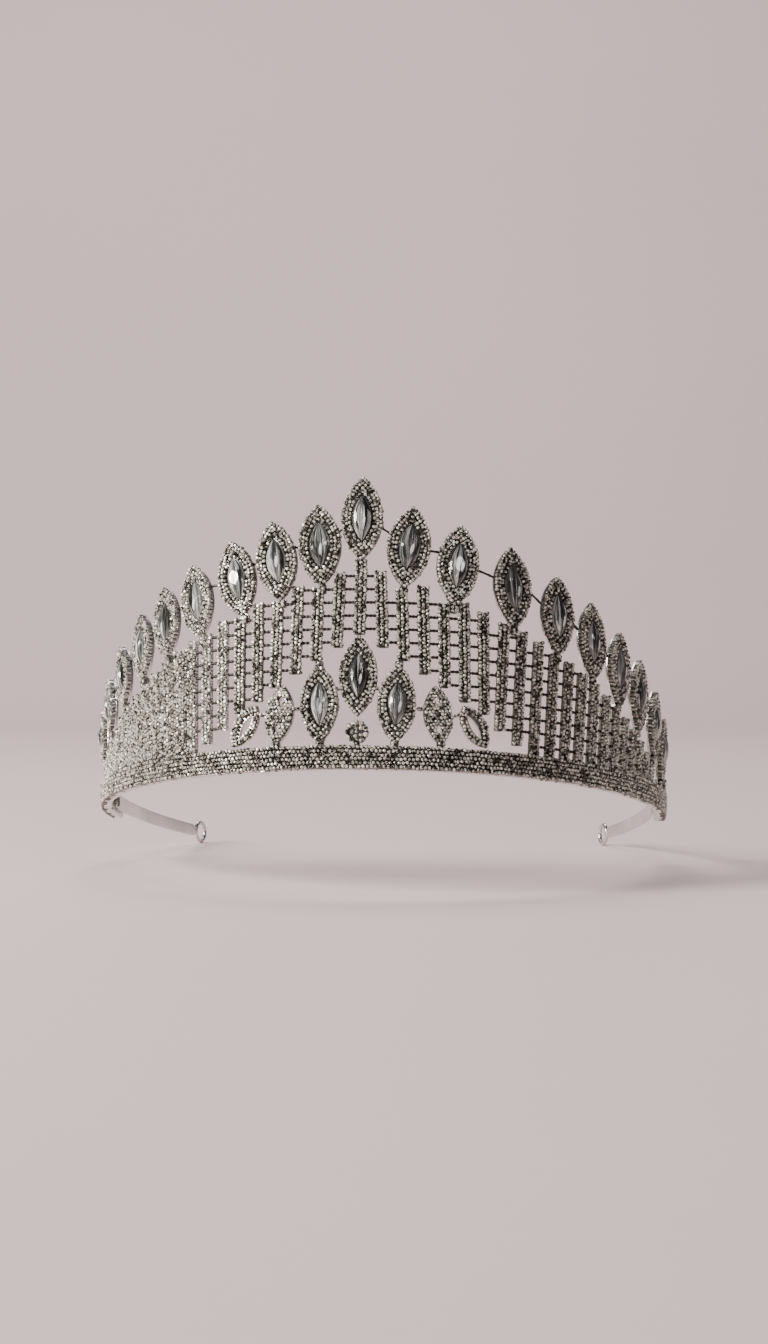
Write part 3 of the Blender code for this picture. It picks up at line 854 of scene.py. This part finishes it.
def add_setting(name, shape, node):
    s, foot, length, width, lean = shape
    place = seat(s, foot, lean)
    bundle = Bundle()
    add_plate(bundle, place, length, width, SETTING_BACK, SETTING_PLATE)
    add_bezel(bundle, place, length, width)
    long, wide = pocket_size(length, width)
    outer = halo(
        length, width, HALO_INSET, 5, lambda x, z: depth_inside(x, z, long, wide) < -HALO_CLEAR
    )
    inner = marquise(long, wide, -BEZEL_ROW, 2 * round(1.06 * long / PAVE_PITCH))
    rows = np.concatenate([outer, inner])
    x, z = rows[:, 0], rows[:, 1] + length / 2
    # painted light: far-left settings get bright cups
    rubbed = s < PAINTED_LIGHT_FROM
    stones_on_seat(bundle, place, x, z, SETTING_PLATE - 0.05, cup=SETTING_CUP, rubbed=rubbed)
    bundle.build(name, "ornament", [node])
    return len(rows)


print("rows of stones every", HALO_PITCH, "mm")

# %% [markdown]
# The marquise stone in the pocket has a long crown: sixteen points round its girdle, sixteen on
# the break line half a step on, and a narrow table. Triangles between lines that are half a step
# apart are exactly the kite and star facets that a cutter would grind.

# %% The faceted marquise stone
STONE_TOP = 3.75


def add_marquise_stone(name, shape, node, seed):
    s, foot, length, width, lean = shape
    place = seat(s, foot, lean)
    long, wide = pocket_size(length, width)
    long, wide = long - 2 * BEZEL * long / wide * 0.7, wide - BEZEL
    count = 16
    even = marquise(long, wide, 0.0, count)
    odd = marquise(long, wide, 0.0, 2 * count)[1::2]
    table = even * (0.50, 0.34)
    lines = [(even * 0.96, 1.6), (even, 2.55), (odd * (0.76, 0.68), 3.35), (table, STONE_TOP)]
    points = np.concatenate(
        [on_seat(place, line[:, 0], line[:, 1] + length / 2, n) for line, n in lines]
    )
    i = np.arange(count)
    j = (i + 1) % count
    flat = [
        np.stack([count + i, count + j, 2 * count + i], -1),
        np.stack([2 * count + i, count + j, 2 * count + j], -1),
        np.stack([2 * count + i, 2 * count + j, 3 * count + j], -1),
        np.stack([2 * count + i, 3 * count + j, 3 * count + i], -1),
    ]
    sides = np.stack([i, j, count + j, count + i], -1)
    caps = np.stack([i[::-1], 3 * count + i])
    faces = [np.concatenate(flat), sides, caps]
    plan = np.concatenate([line for line, _ in lines])
    pattern = np.stack(
        [plan[:, 0] / (wide / 2), plan[:, 1] / (long / 2), np.full(len(plan), float(seed))], -1
    )
    bundle = Bundle()
    bundle.add(points, facing_out(points, faces), marquise_crystal, pattern=pattern)
    return bundle.build(name, "ornament", [node])


total = 0
for number, (k, shape) in enumerate(crown_plan.items(), start=1):
    tag = f"{number:02d}"
    total += add_setting("crown_pave_" + tag, shape, "crown_setting_" + tag)
    add_marquise_stone("crown_crystal_" + tag, shape, "crown_stone_" + tag, 3.7 * number)
low_plan = {"centre": LOW_MIDDLE, "left": mirrored(LOW_SIDE, -1), "right": mirrored(LOW_SIDE, 1)}
for number, (word, shape) in enumerate(low_plan.items(), start=30):
    total += add_setting(f"low_{word}_pave", shape, f"low_{word}_setting")
    add_marquise_stone(f"low_{word}_crystal", shape, f"low_{word}_stone", 3.7 * number)
print("stones round the marquises:", total)

# %% [markdown]
# ## Bars and cross wires
# The bars are three stones wide. They stand on the band at the sides and hang over the lower
# motif in the middle, where their lower ends follow an arch; above, they stop at the marquises.
# So each bar's span is the tightest of a few limits, found against the marquises' own outlines.

# %% How far each bar reaches
BAR_WIDTH = 2.8
BAR_TOP = (49.7, 0.34, 0.0008)  # height, slope and droop of the line through the bars' tops
ARCH_TOP, ARCH_DROP = 32.3, 3.1
LAST_BAR = 20
INNER_BARS = 4


def spot_on_wall(shape, x, z):
    """Where a place (x, z) of a leaned piece lies on the wall: turned about its foot."""
    s, foot, _, _, lean = shape
    cos, sin = math.cos(math.radians(lean)), math.sin(math.radians(lean))
    return s + x * cos + z * sin, foot + z * cos - x * sin


def outline_on_wall(shape):
    """Outline points (s, z) of a marquise on the wall."""
    length, width = shape[2:4]
    x, z = marquise(length, width, count=240).T
    return spot_on_wall(shape, x, z + length / 2)


above = [outline_on_wall(shape) for shape in crown_plan.values()]
low_shapes = [LOW_MIDDLE]
for shape in (LOW_SIDE, OPEN_LEAF, SLANT_LEAF):
    low_shapes += [mirrored(shape, side) for side in (1, -1)]
below = [outline_on_wall(shape) for shape in low_shapes]


def bar_span(k):
    """Lower and upper end of bar k, which meets what stands above and below it."""
    s = k * BAR_PITCH
    reach = BAR_WIDTH / 2 - 0.3
    top = BAR_TOP[0] - BAR_TOP[1] * abs(s) - BAR_TOP[2] * s * s
    bottom = max(BAND_HEIGHT, ARCH_TOP - ARCH_DROP * abs(k))
    for outline_s, outline_z in above:
        near = outline_z[np.abs(outline_s - s) < reach]
        top = min(top, near.min(initial=99.0))
    for outline_s, outline_z in below:
        near = outline_z[np.abs(outline_s - s) < reach]
        bottom = max(bottom, near.max(initial=0.0))
    if k == 0:
        top = crown_plan[0][1] + 0.4
    return bottom, top


spans = {k: bar_span(k) for k in range(-LAST_BAR, LAST_BAR + 1)}
for k in (0, LAST_BAR):
    print("bar", k, "reaches from", *(round(v, 1) for v in spans[k]), "mm")

# %% [markdown]
# A bar is a narrow strip with three columns of cups that overhang it, which gives the knobbly
# edge. The middle column sits half a stone higher, so the stones nest. The strip lies in the
# cups' shade, so its front is painted dark as painted shade, and painted bright as painted light
# at the far left; its back is polished. The bars near the middle fan out a little towards their
# lower ends, and at the far left two more columns fill each gap, so that the bars close up.

# %% Bars
BAR_BACK, BAR_PLATE = 0.6, 1.4
BAR_CUP = 0.75
BAR_COLUMN = 0.98
BAR_STONE = 0.5  # radius
BAR_FAN = 0.05  # sideways for each millimetre down
CLOSED_UP = -10  # from this bar on, the left side's gaps are filled


def bar_shift(k, z):
    """How far bar k strays outwards at height z: the bars near the middle fan a little."""
    slope = BAR_FAN * (0 < k <= 6) + 0.4 * BAR_FAN * (-4 <= k < 0)
    return math.copysign(slope, k) * (sum(spans[k]) / 2 - z)


def add_strip(bundle, k, heights, section, widths, finish):
    """A section carried up bar k, at each height narrowed to a share of its width."""
    x = section[None, :, 0] * np.array(widths)[:, None] + bar_shift(k, heights)[:, None]
    add_shell(bundle, wall(k * BAR_PITCH + x, heights[:, None], section[None, :, 1]), finish)


def add_bar(bundle, k, bottom, top):
    """Strip, polished back and stones of one bar; returns how many stones."""
    # painted light at the far left: the strip's front takes the plates' bright silver, elsewhere
    # painted shade
    rubbed = k * BAR_PITCH < PAINTED_LIGHT_FROM
    heights = np.array([bottom + 0.1, bottom + 0.2, top - 0.2, top - 0.1])
    section = rounded_box((-0.95, BAR_BACK), (0.95, BAR_PLATE), 0.2)
    front_silver = plate_silver if rubbed else cup_painted_shade_silver
    add_strip(bundle, k, heights, section, (0.85, 1.0, 1.0, 0.85), front_silver)
    backing = rounded_box((-0.8, BAR_BACK - 0.03), (0.8, BAR_BACK + 0.2), 0.05)
    add_strip(bundle, k, heights, backing, (1.0, 1.0, 1.0, 1.0), plate_silver)
    count = max(2, round((top - bottom) / PAVE_PITCH))
    pitch = (top - bottom) / count
    outer = bottom + (np.arange(count) + 0.5) * pitch
    inner = bottom + (np.arange(count - 1) + 1.0) * pitch
    x = np.repeat([-BAR_COLUMN, BAR_COLUMN, 0.0], [count, count, count - 1])
    z = np.concatenate([outer, outer, inner])
    place = k * BAR_PITCH + x + bar_shift(k, z)
    centres = wall(place, z, BAR_PLATE - 0.05)
    return set_stones(bundle, centres, wall_axes(place, z), BAR_STONE, BAR_CUP, rubbed)


def add_filler(bundle, k):
    """Two columns of stones on the wires between bars k and k + 1; returns how many."""
    low = max(spans[k][0], spans[k + 1][0])
    high = min(spans[k][1], spans[k + 1][1])
    z = np.arange(low + 0.5, high - 0.5, PAVE_PITCH)
    place = np.full(len(z), (k + 0.5) * BAR_PITCH)
    centres = wall(np.concatenate([place - 0.48, place + 0.48]), np.concatenate([z, z + 0.4]), 1.3)
    axes = wall_axes(np.tile(place, 2), np.tile(z, 2))
    return set_stones(bundle, centres, axes, 0.46, BAR_CUP)


print("bars", BAR_WIDTH, "mm wide, every", BAR_PITCH, "mm")

# %% [markdown]
# The cross wires are thin and beaded: a tube whose radius swells at three places along its
# length. All the wires of a lattice are one array of tubes, worked out at once. The same function
# makes the wires between the marquises later.

# %% Cross wires
WIRE_PITCH, LOWEST_WIRE = 3.24, 7.9
WIRE_RADIUS = 0.30
WIRE_SPAN = BAR_PITCH - 1.9  # from one strip to the next


def beaded_tubes(start, end, n, steps, sides, beads, swell, width):
    """Rings of tubes between places (s, z) on the wall, at depth n: radius = thin + swell times
    a bell curve at each bead's share of the way."""
    share = np.linspace(0.0, 1.0, steps)
    bells = sum(np.exp(-(((share - bead) / width) ** 2)) for bead in beads)
    radius = (WIRE_RADIUS + swell * bells)[:, None]
    turn = np.arange(sides) * 2 * math.pi / sides
    start, end = np.asarray(start)[..., None, None], np.asarray(end)[..., None, None]
    s, z = np.moveaxis(start + (end - start) * share[:, None] + 0 * turn, -3, 0)
    return wall(s, z + radius * np.cos(turn), n + radius * np.sin(turn))


def wire_places(first, last):
    """Gap and height of each cross wire between bars that both reach it."""
    places = []
    for k in range(first, last):
        low = max(spans[k][0], spans[k + 1][0]) + 0.5
        high = min(spans[k][1], spans[k + 1][1]) - 0.4
        rows = LOWEST_WIRE + WIRE_PITCH * np.arange(14)
        places += [(k, z) for z in rows[(rows > low) & (rows < high)]]
    return np.array(places)


def add_wires(bundle, first, last):
    """All cross wires between two bars; returns how many."""
    places = wire_places(first, last)
    start = places * (BAR_PITCH, 1.0) + ((BAR_PITCH - WIRE_SPAN) / 2, 0.0)
    end = start + (WIRE_SPAN, 0.0)
    tubes = beaded_tubes(start, end, 1.5, 15, 6, (0.2, 0.5, 0.8), 0.15, 0.075)
    count, levels, around = tubes.shape[:3]
    faces = facing_out(tubes[0].reshape(-1, 3), ring_faces(levels, around))
    bundle.add(tubes, repeated(faces, count, levels * around), wire_painted_shade_silver, smooth=True)
    return count


def add_lattice(word, first, last, wires_to):
    bundle = Bundle()
    stones = sum(add_bar(bundle, k, *spans[k]) for k in range(first, last + 1))
    stones += sum(add_filler(bundle, k) for k in range(first, min(last, CLOSED_UP) + 1))
    wires = add_wires(bundle, first, wires_to)
    bundle.build(f"lattice_{word}_pave", "ornament", ["lattice_" + word])
    print("lattice", word, "has", stones, "stones and", wires, "wires")


add_lattice("left", -LAST_BAR, -INNER_BARS - 1, -INNER_BARS)
add_lattice("centre", -INNER_BARS, INNER_BARS, INNER_BARS + 1)
add_lattice("right", INNER_BARS + 1, LAST_BAR, LAST_BAR)

# %% [markdown]
# ## Leaves and flower
# The leaves are marquise rings: a plate with a marquise hole, so their shell runs out along the
# back, up the outer edge, in over the front and down the hole. The open leaf has a bridge of
# stones across its hole, which leaves a small window above it and one below; its stones lie in
# a honeycomb. The slanted leaf has one narrow slit.

# %% Leaf plates
LEAF_PLATE = BAR_PLATE + 0.1


def add_ring_plate(bundle, place, length, width, hole, back, front):
    """Plate with a marquise hole of the given length and width."""
    levels = ((0.25, back), (0.0, back + 0.2), (0.0, front - 0.12), (0.12, front))
    edge = marquise_rings(place, length / 2, length, width, levels)
    rim = marquise_rings(place, length / 2, *hole, ((0.0, front), (0.0, back)))
    add_shell(bundle, np.concatenate([edge, rim]), plate_silver, capped=False)


def add_bridge(bundle, place, x_half, low, high, back, front):
    """Small rounded plate between two heights."""
    section = rounded_box((-x_half, low), (x_half, high), 0.3)
    rings = [on_seat(place, section[:, 0], section[:, 1], n) for n in (back, front)]
    add_shell(bundle, np.stack(rings), plate_silver)


print("a leaf's plate is", round(LEAF_PLATE - BAR_BACK, 1), "mm thick")

# %% Open and slanted leaves
OPEN_HOLE = (0.66, 0.36)  # over the leaf's length and width
SLIT = {-1: (0.60, 0.34), 1: (0.60, 0.27)}  # the same, for the left leaf and the right one
LEAF_BRIDGE = (1.5, 4.9, 9.0)  # half width, lower and upper end
LEAF_WINDOWS = ((0.0, 0.22, 0.62, 0.95), (0.05, -0.22, 0.75, 0.95))
HONEYCOMB = (0.86, 0.76)  # between stones in a row and between rows


def add_open_leaf(word, side):
    s, foot, length, width, lean = mirrored(OPEN_LEAF, side)
    place = seat(s, foot, lean)
    hole = (OPEN_HOLE[0] * length, OPEN_HOLE[1] * width)
    bundle = Bundle()
    add_ring_plate(bundle, place, length, width, hole, BAR_BACK, LEAF_PLATE)
    add_bridge(bundle, place, *LEAF_BRIDGE, BAR_BACK + 0.05, BAR_PLATE + 0.05)
    column, row = np.meshgrid(np.arange(-4, 5), np.arange(-9, 10))
    x = (column + 0.5 * (row % 2)).ravel() * HONEYCOMB[0]
    z = row.ravel() * HONEYCOMB[1]
    keep = depth_inside(x, z, length, width) > 0.22
    for x0, z0, half_width, half_height in LEAF_WINDOWS:
        off = np.stack([(x - x0 * side) / half_width, (z - z0 * length) / half_height])
        keep &= (off**2).sum(0) > 1.0
    stones_on_seat(bundle, place, x[keep], z[keep] + length / 2, BAR_PLATE, cup=BAR_CUP)
    bundle.build(f"open_leaf_{word}_pave", "ornament", ["open_leaf_" + word])


def add_slant_leaf(word, side):
    s, foot, length, width, lean = mirrored(SLANT_LEAF, side)
    place = seat(s, foot, lean)
    hole = (SLIT[side][0] * length, SLIT[side][1] * width)
    bundle = Bundle()
    add_ring_plate(bundle, place, length, width, hole, BAR_BACK, LEAF_PLATE)
    rows = halo(length, width, 0.25, 3, lambda x, z: depth_inside(x, z, *hole) < -0.22)
    stones_on_seat(bundle, place, rows[:, 0], rows[:, 1] + length / 2, BAR_PLATE, cup=BAR_CUP)
    bundle.build(f"slant_leaf_{word}_pave", "ornament", ["slant_leaf_" + word])


for word, side in (("left", -1), ("right", 1)):
    add_open_leaf(word, side)
    add_slant_leaf(word, side)
print("four leaves")

# %% [markdown]
# The little flower under the middle marquise is a disc with nine stones round its rim, five
# inside them and one in the middle, on a short stem with one more. The disc's edge is
# scalloped: radius = r (0.93 + 0.07 cos 8t).

# %% Flower
FLOWER_HEIGHT, FLOWER_RADIUS = 8.75, 2.85
FLOWER_ROWS = ((9, 2.2, 0.66), (5, 1.15, 0.52), (1, 0.0, 0.46))  # stones, distance, stone's radius


def add_flower():
    place = seat(0.0, FLOWER_HEIGHT)
    bundle = Bundle()
    angle = np.linspace(0.0, 2 * math.pi, 64, endpoint=False)
    reach = FLOWER_RADIUS * (0.93 + 0.07 * np.cos(8 * angle))
    x, z = reach * np.cos(angle), reach * np.sin(angle)
    levels = ((0.88, BAR_BACK), (0.97, BAR_BACK + 0.2), (0.97, 1.25), (0.9, 1.4))
    rings = [on_seat(place, share * x, share * z, n) for share, n in levels]
    add_shell(bundle, np.stack(rings), plate_silver)
    add_bridge(bundle, place, 0.7, -3.5, -2.0, BAR_BACK, BAR_PLATE)
    for count, distance, radius in FLOWER_ROWS:
        turn = (np.arange(count) + 0.5) * 2 * math.pi / count
        x, z = distance * np.cos(turn), distance * np.sin(turn)
        stones_on_seat(bundle, place, x, z, 1.3, radius=radius, cup=0.75)
    stones_on_seat(bundle, place, np.array([0.0]), np.array([-2.75]), 1.3, radius=0.42, cup=0.75)
    bundle.build("flower_pave", "ornament", ["flower_cluster"])


add_flower()
print("flower on its stem")

# %% [markdown]
# ## Links and solder
# Neighbouring marquises are tied by a short beaded wire near their widest points, and the lower
# motif by pairs of stones. Four small stones make the neck under each marquise.

# %% Links and necks
def crown_link(bundle, k):
    """Beaded wire from marquise k to its inner neighbour, in wall coordinates."""
    side = int(math.copysign(1, k))
    ends = []
    for number, facing, share in ((k - side, side, 0.5 if k != side else 0.41), (k, -side, 0.65)):
        length, width = crown_plan[number][2:4]
        x, z = facing * (width / 2 - 0.9), share * length
        ends.append(spot_on_wall(crown_plan[number], x, z))
    tube = beaded_tubes(*ends, 1.3, 13, 8, (0.25, 0.75), 0.08, 0.07)
    add_shell(bundle, tube, wire_painted_shade_silver, smooth=True)


def small_group(bundle, place, half_width, half_height, x, z):
    """Small stones at x and z on a scrap of plate."""
    add_bridge(bundle, place, half_width, -half_height, half_height, BAR_BACK, BAR_PLATE)
    stones_on_seat(bundle, place, np.array(x), np.array(z), BAR_PLATE - 0.05, cup=BAR_CUP)


def pair_link(bundle, s, z, lean):
    """Two small stones side by side."""
    small_group(bundle, seat(s, z, lean), 1.0, 0.4, (-0.48, 0.48), (0.0, 0.0))


def neck(bundle, s, foot):
    """Four small stones at a marquise's foot, which join it to what it stands on."""
    x, z = (-0.48, 0.48, -0.48, 0.48), (-0.7, -0.7, 0.25, 0.25)
    small_group(bundle, seat(s, foot - 0.6), 1.0, 1.2, x, z)


def knob(bundle, s, z):
    """Six small stones round one, on the band's end."""
    turn = np.arange(6) * math.pi / 3
    x, y = np.append(0.85 * np.cos(turn), 0.0), np.append(0.85 * np.sin(turn), 0.0)
    small_group(bundle, seat(s, z), 0.9, 0.9, x, y)


print("three kinds of link made of stones, and one of wire")

# %% Placing the links
PAIR_LINKS = ((14.2, 14.6, 0.0), (22.9, 13.6, -20.0), (4.4, 19.2, 12.0))  # s, z and lean
KNOBS = ((121.0, 6.6), (119.0, 8.6), (-121.0, 6.6))
links = Bundle()
for k in range(-CROWN_PAIRS, CROWN_PAIRS + 1):
    if k:
        crown_link(links, k)
        neck(links, *crown_plan[k][:2])
for s in (-LOW_SIDE[0], LOW_SIDE[0]):
    neck(links, s, LOW_SIDE[1] + 0.7)
    neck(links, s * 1.06, LOW_SIDE[1] + LOW_SIDE[2] + 0.4)
for s in (-OPEN_LEAF[0], OPEN_LEAF[0]):
    neck(links, s, OPEN_LEAF[1] + 0.7)
for side in (-1, 1):
    for s, z, lean in PAIR_LINKS:
        pair_link(links, side * s, z, side * lean)
for s, z in KNOBS:
    knob(links, s, z)
links.build("links_pave", "ornament", [])
print("links:", 2 * CROWN_PAIRS, "of wire,", 2 * len(PAIR_LINKS), "pairs,", len(KNOBS), "knobs")

# %% [markdown]
# Where pieces meet, a bead of solder holds them. A bead is a squashed ball: circles of
# latitude whose radius follows the sine of the latitude, with a small flat cap at each pole.

# %% Solder beads
PAIRED_BEADS = (  # place s, z, n and half size along each, on both sides
    (129.6, 0.75, 1.3, (0.9, 0.8, 1.1)),
    (129.4, 4.9, 0.7, (0.8, 0.7, 0.8)),
    (119.2, 3.0, -0.35, (0.9, 1.7, 0.5)),
    (9.0, 25.6, 1.2, (0.55, 0.7, 0.7)),
)
SINGLE_BEADS = ((-21.5, -0.2, 2.0, (1.5, 0.6, 0.9)), (-112.0, 0.1, 0.2, (0.8, 0.6, 0.6)))


def squashed_ball(a, b, c, levels, sides):
    """Rings of an ellipsoid: a sin(t) cos(u), b sin(t) sin(u) and c cos(t)."""
    t = np.linspace(0.0, math.pi, levels + 2)[1:-1, None]
    u = np.arange(sides) * 2 * math.pi / sides
    return a * np.sin(t) * np.cos(u), b * np.sin(t) * np.sin(u), c * np.cos(t) + 0 * u


def add_bead(bundle, s, z, n, size):
    ds, dz, dn = squashed_ball(*size, 7, 12)
    add_shell(bundle, wall(s + ds, z + dz, n + dn), solder_silver, smooth=True)


solder = Bundle()
beads = [(side * s, *rest) for side in (-1, 1) for s, *rest in PAIRED_BEADS]
for bead in (*beads, *SINGLE_BEADS):
    add_bead(solder, *bead)
solder.build("solder_beads", "ornament", [])
print("beads of solder:", len(beads) + len(SINGLE_BEADS))

# %% [markdown]
# ## Arms
# Each arm is a springy strip soldered inside the band's end. It leaves the band along the oval's
# own direction and then follows a wide arc. The strip is a rounded section carried along that
# path, a little lower towards its end, and narrowed where it runs into the ring.
#
# The real strip bends over its first centimetres while the soldered part stays put. A rigid arm
# would tear out of its solder. Here the strip is one still mesh on no body, and the ends of the
# stretch that bends are worked out but not used.

# %% Arm strips
ARM_OVERLAP = 11.0
ARM_LENGTH = 53.5
ARM_RADIUS = 196.0
ARM_THICKNESS = 0.8
ARM_HEIGHT, ARM_TAPER = 3.8, 0.6
ARM_MIDDLE = 3.0
BENDS_FROM, BENDS_TO = -1.0, 20.0  # the stretch that gives when the arm springs out
RING_RADIUS, RING_WIRE = 2.65, 1.14


def arm_path(distance, side):
    """Centre line and outward normal: along the oval up to the band's end, then an arc whose
    turning angle is distance over radius."""
    distance = np.asarray(distance, float)
    depth = -(GAP + ARM_THICKNESS / 2)
    point, outward, _ = oval(side * (BAND_REACH + np.minimum(distance, 0.0)))
    start, start_out, start_travel = oval(side * BAND_REACH)
    turn = np.maximum(distance, 0.0)[..., None] / ARM_RADIUS
    heading = start_out * np.cos(turn) + start_travel * side * np.sin(turn)
    centre = start + start_out * (depth - ARM_RADIUS)
    on_arc = centre + heading * ARM_RADIUS
    behind = (distance > 0)[..., None]
    return np.where(behind, on_arc, point + outward * depth), np.where(behind, heading, outward)


def add_arm(word, side):
    soldered = np.linspace(-ARM_OVERLAP, 0.0, 12)[:-1]
    distance = np.concatenate([soldered, np.linspace(0, ARM_LENGTH + 0.5, 60)])
    point, outward = arm_path(distance, side)
    share = (distance + ARM_OVERLAP) / (ARM_OVERLAP + ARM_LENGTH)
    height = ARM_HEIGHT - ARM_TAPER * share
    end = np.clip((distance - ARM_LENGTH + 2.5) / 3.0, 0.0, 1.0)
    start = np.clip((-ARM_OVERLAP + 1.2 - distance) / 1.2, 0.0, 1.0)
    height = height * (1.0 - 0.35 * end**2) * (1.0 - 0.35 * start**2)
    section = rounded_box((-0.5, -0.5), (0.5, 0.5), 0.12, 4)
    across = section[None, :, 0] * ARM_THICKNESS
    up = section[None, :, 1] * height[:, None]
    rings = point[:, None] + outward[:, None] * across[..., None]
    rings = rings + np.array([0.0, 0.0, 1.0]) * (ARM_MIDDLE + up)[..., None]
    pattern = np.stack(np.broadcast_arrays(distance[:, None], up, across), -1).reshape(-1, 3)
    bundle = Bundle()
    add_shell(bundle, rings, drawn_silver, smooth=True, pattern=pattern)
    arm = bundle.build(word + "_arm_strip", None, [word + "_arm"])
    arm.data.set_sharp_from_angle(angle=math.radians(50))
    bend = [arm_path(d, side)[0] + (0.0, 0.0, ARM_MIDDLE) for d in (BENDS_FROM, BENDS_TO)]
    first, last = (to_frame(point) for point in bend)
    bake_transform(arm)
    return len(arm.data.polygons)


print("faces in each arm:", [add_arm(word, side) for word, side in (("left", -1), ("right", 1))])

# %% [markdown]
# The rings at the arms' ends take a ribbon or a hairpin. Each is a torus of round wire in the
# strip's own plane, with a bead of solder where the strip meets it.

# %% End rings
def add_ring(word, side):
    """Torus: a circle of wire carried round the ring's circle."""
    centre, heading = arm_path(ARM_LENGTH + GAP + RING_RADIUS + RING_WIRE / 2, side)
    forward = np.array([-heading[1], heading[0], 0.0]) * side
    upward = np.array([0.0, 0.0, 1.0])
    centre = centre + upward * ARM_MIDDLE
    around = np.arange(48)[:, None] * math.pi / 24
    across = np.arange(16)[None] * math.pi / 8
    reach = RING_RADIUS + RING_WIRE / 2 * np.cos(across)
    axes = np.stack([forward, upward, heading])
    aside = RING_WIRE / 2 * np.sin(across)
    rings = on_seat((centre, axes), reach * np.cos(around), reach * np.sin(around), aside)
    pattern = np.stack(np.broadcast_arrays(around * RING_RADIUS, across, 0 * reach), -1)
    bundle = Bundle()
    add_shell(
        bundle, rings, drawn_silver, capped=False, smooth=True, pattern=pattern.reshape(-1, 3)
    )
    meeting = centre - forward * (RING_RADIUS + 0.55)
    up, out, along = squashed_ball(0.95, 0.62, 0.75, 9, 16)
    add_shell(bundle, on_seat((meeting, axes), along, up, out), solder_silver, smooth=True)
    bundle.build(word + "_ring_wire", word + "_arm_body", [word + "_end_ring"])


for word, side in (("left", -1), ("right", 1)):
    add_ring(word, side)
print("rings on both arms")

# %% [markdown]
# ## Studio
# Cut stones show what surrounds them, so the light decides how they look. One large soft light
# stands to the left and gives the left side its pale shimmer. A small weak one stands high on
# the right and a wide one above and behind. The space behind the camera stays dim, which gives
# the stones their dark facets. The floor is one pale sheet that curves up behind the tiara.

# %% Floor and backdrop
def make_paper():
    finish = Finish("studio_paper", Roughness=0.55)
    cloud = finish.noise(finish.position(), 2.5, 3.0)
    return finish.varies(Base_Color=finish.blended(cloud, (0.86, 0.69, 0.685), (0.90, 0.75, 0.745)))


def add_backdrop():
    """Sheet along X whose side view is a floor, a quarter circle and a wall."""
    bend, back, top = 0.5, 0.9, 2.2
    angle = np.linspace(-math.pi / 2, 0.0, 25)
    y = np.concatenate([[-2.0], back + bend * np.cos(angle), [back + bend]])
    z = np.concatenate([[0.0], bend + bend * np.sin(angle), [top]])
    x = np.array([-3.0, 3.0])
    points = np.stack(np.broadcast_arrays(x[:, None], y[None], z[None]), -1).reshape(-1, 3)
    i = np.arange(len(y) - 1)
    faces = np.stack([i, i + len(y), i + 1 + len(y), i + 1], -1)
    mesh = bpy.data.meshes.new("studio_sheet")
    mesh.from_pydata(points.tolist(), [], faces.tolist())
    mesh.shade_smooth()
    mesh.materials.append(make_paper())
    to_scene("studio_sheet", mesh)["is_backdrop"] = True


add_backdrop()
print("floor and backdrop")

# %% Lights
def add_area(name, place, target, size, watts, colour=(1.0, 1.0, 1.0)):
    """Soft square light that faces its target."""
    light = bpy.data.lights.new(name, "AREA")
    light.shape = "RECTANGLE"
    light.size, light.size_y = size
    light.energy = watts
    light.color = colour
    lamp = to_scene(name, light)
    lamp.location = place
    aim = Vector(target) - Vector(place)
    lamp.rotation_euler = aim.to_track_quat("-Z", "Y").to_euler()


MIDDLE = (0.0, -0.02, 0.05)
add_area("key_light", (-1.15, -0.5, 0.6), MIDDLE, (0.5, 0.7), 34.0, (1.0, 0.975, 0.93))
add_area("fill_light", (0.9, -0.9, 0.9), MIDDLE, (0.3, 0.3), 1.2, (0.98, 0.98, 1.0))
add_area("top_light", (-0.2, 0.6, 1.3), MIDDLE, (0.9, 0.5), 9.0)
world = bpy.data.worlds.new("studio")
world.use_nodes = True
world.node_tree.nodes["Background"].inputs["Color"].default_value = (0.92, 0.95, 1.0, 1.0)
world.node_tree.nodes["Background"].inputs["Strength"].default_value = 0.125
bpy.context.scene.world = world
print("three lights")

# %% [markdown]
# The camera looks at the front from a little above the band and slightly from the right, with a
# long lens, so that the side marquises show edge-on as they curve away.

# %% Camera
camera = bpy.data.cameras.new("camera")
camera.lens = 69.64
camera.sensor_width = 36.0
camera.clip_start, camera.clip_end = 0.01, 20.0
viewer = to_scene("camera", camera)
viewer.location = (0.0524, -0.6736, 0.0623)
viewer.rotation_euler = (math.pi / 2 - 0.0170, 0.0, 0.0765)
bpy.context.scene.camera = viewer
print("camera", round((viewer.location - Vector(MIDDLE)).length, 3), "m away")

# %% [markdown] ## Finish Sizes of the looks and of the packed model's box.

# %% Sizes and finish
look_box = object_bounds()
boxes = {"cad": [list(v) for v in cad_box], "look": [list(v) for v in look_box]}
print({name: [round(b - a, 4) for a, b in zip(*box)] for name, box in boxes.items()})
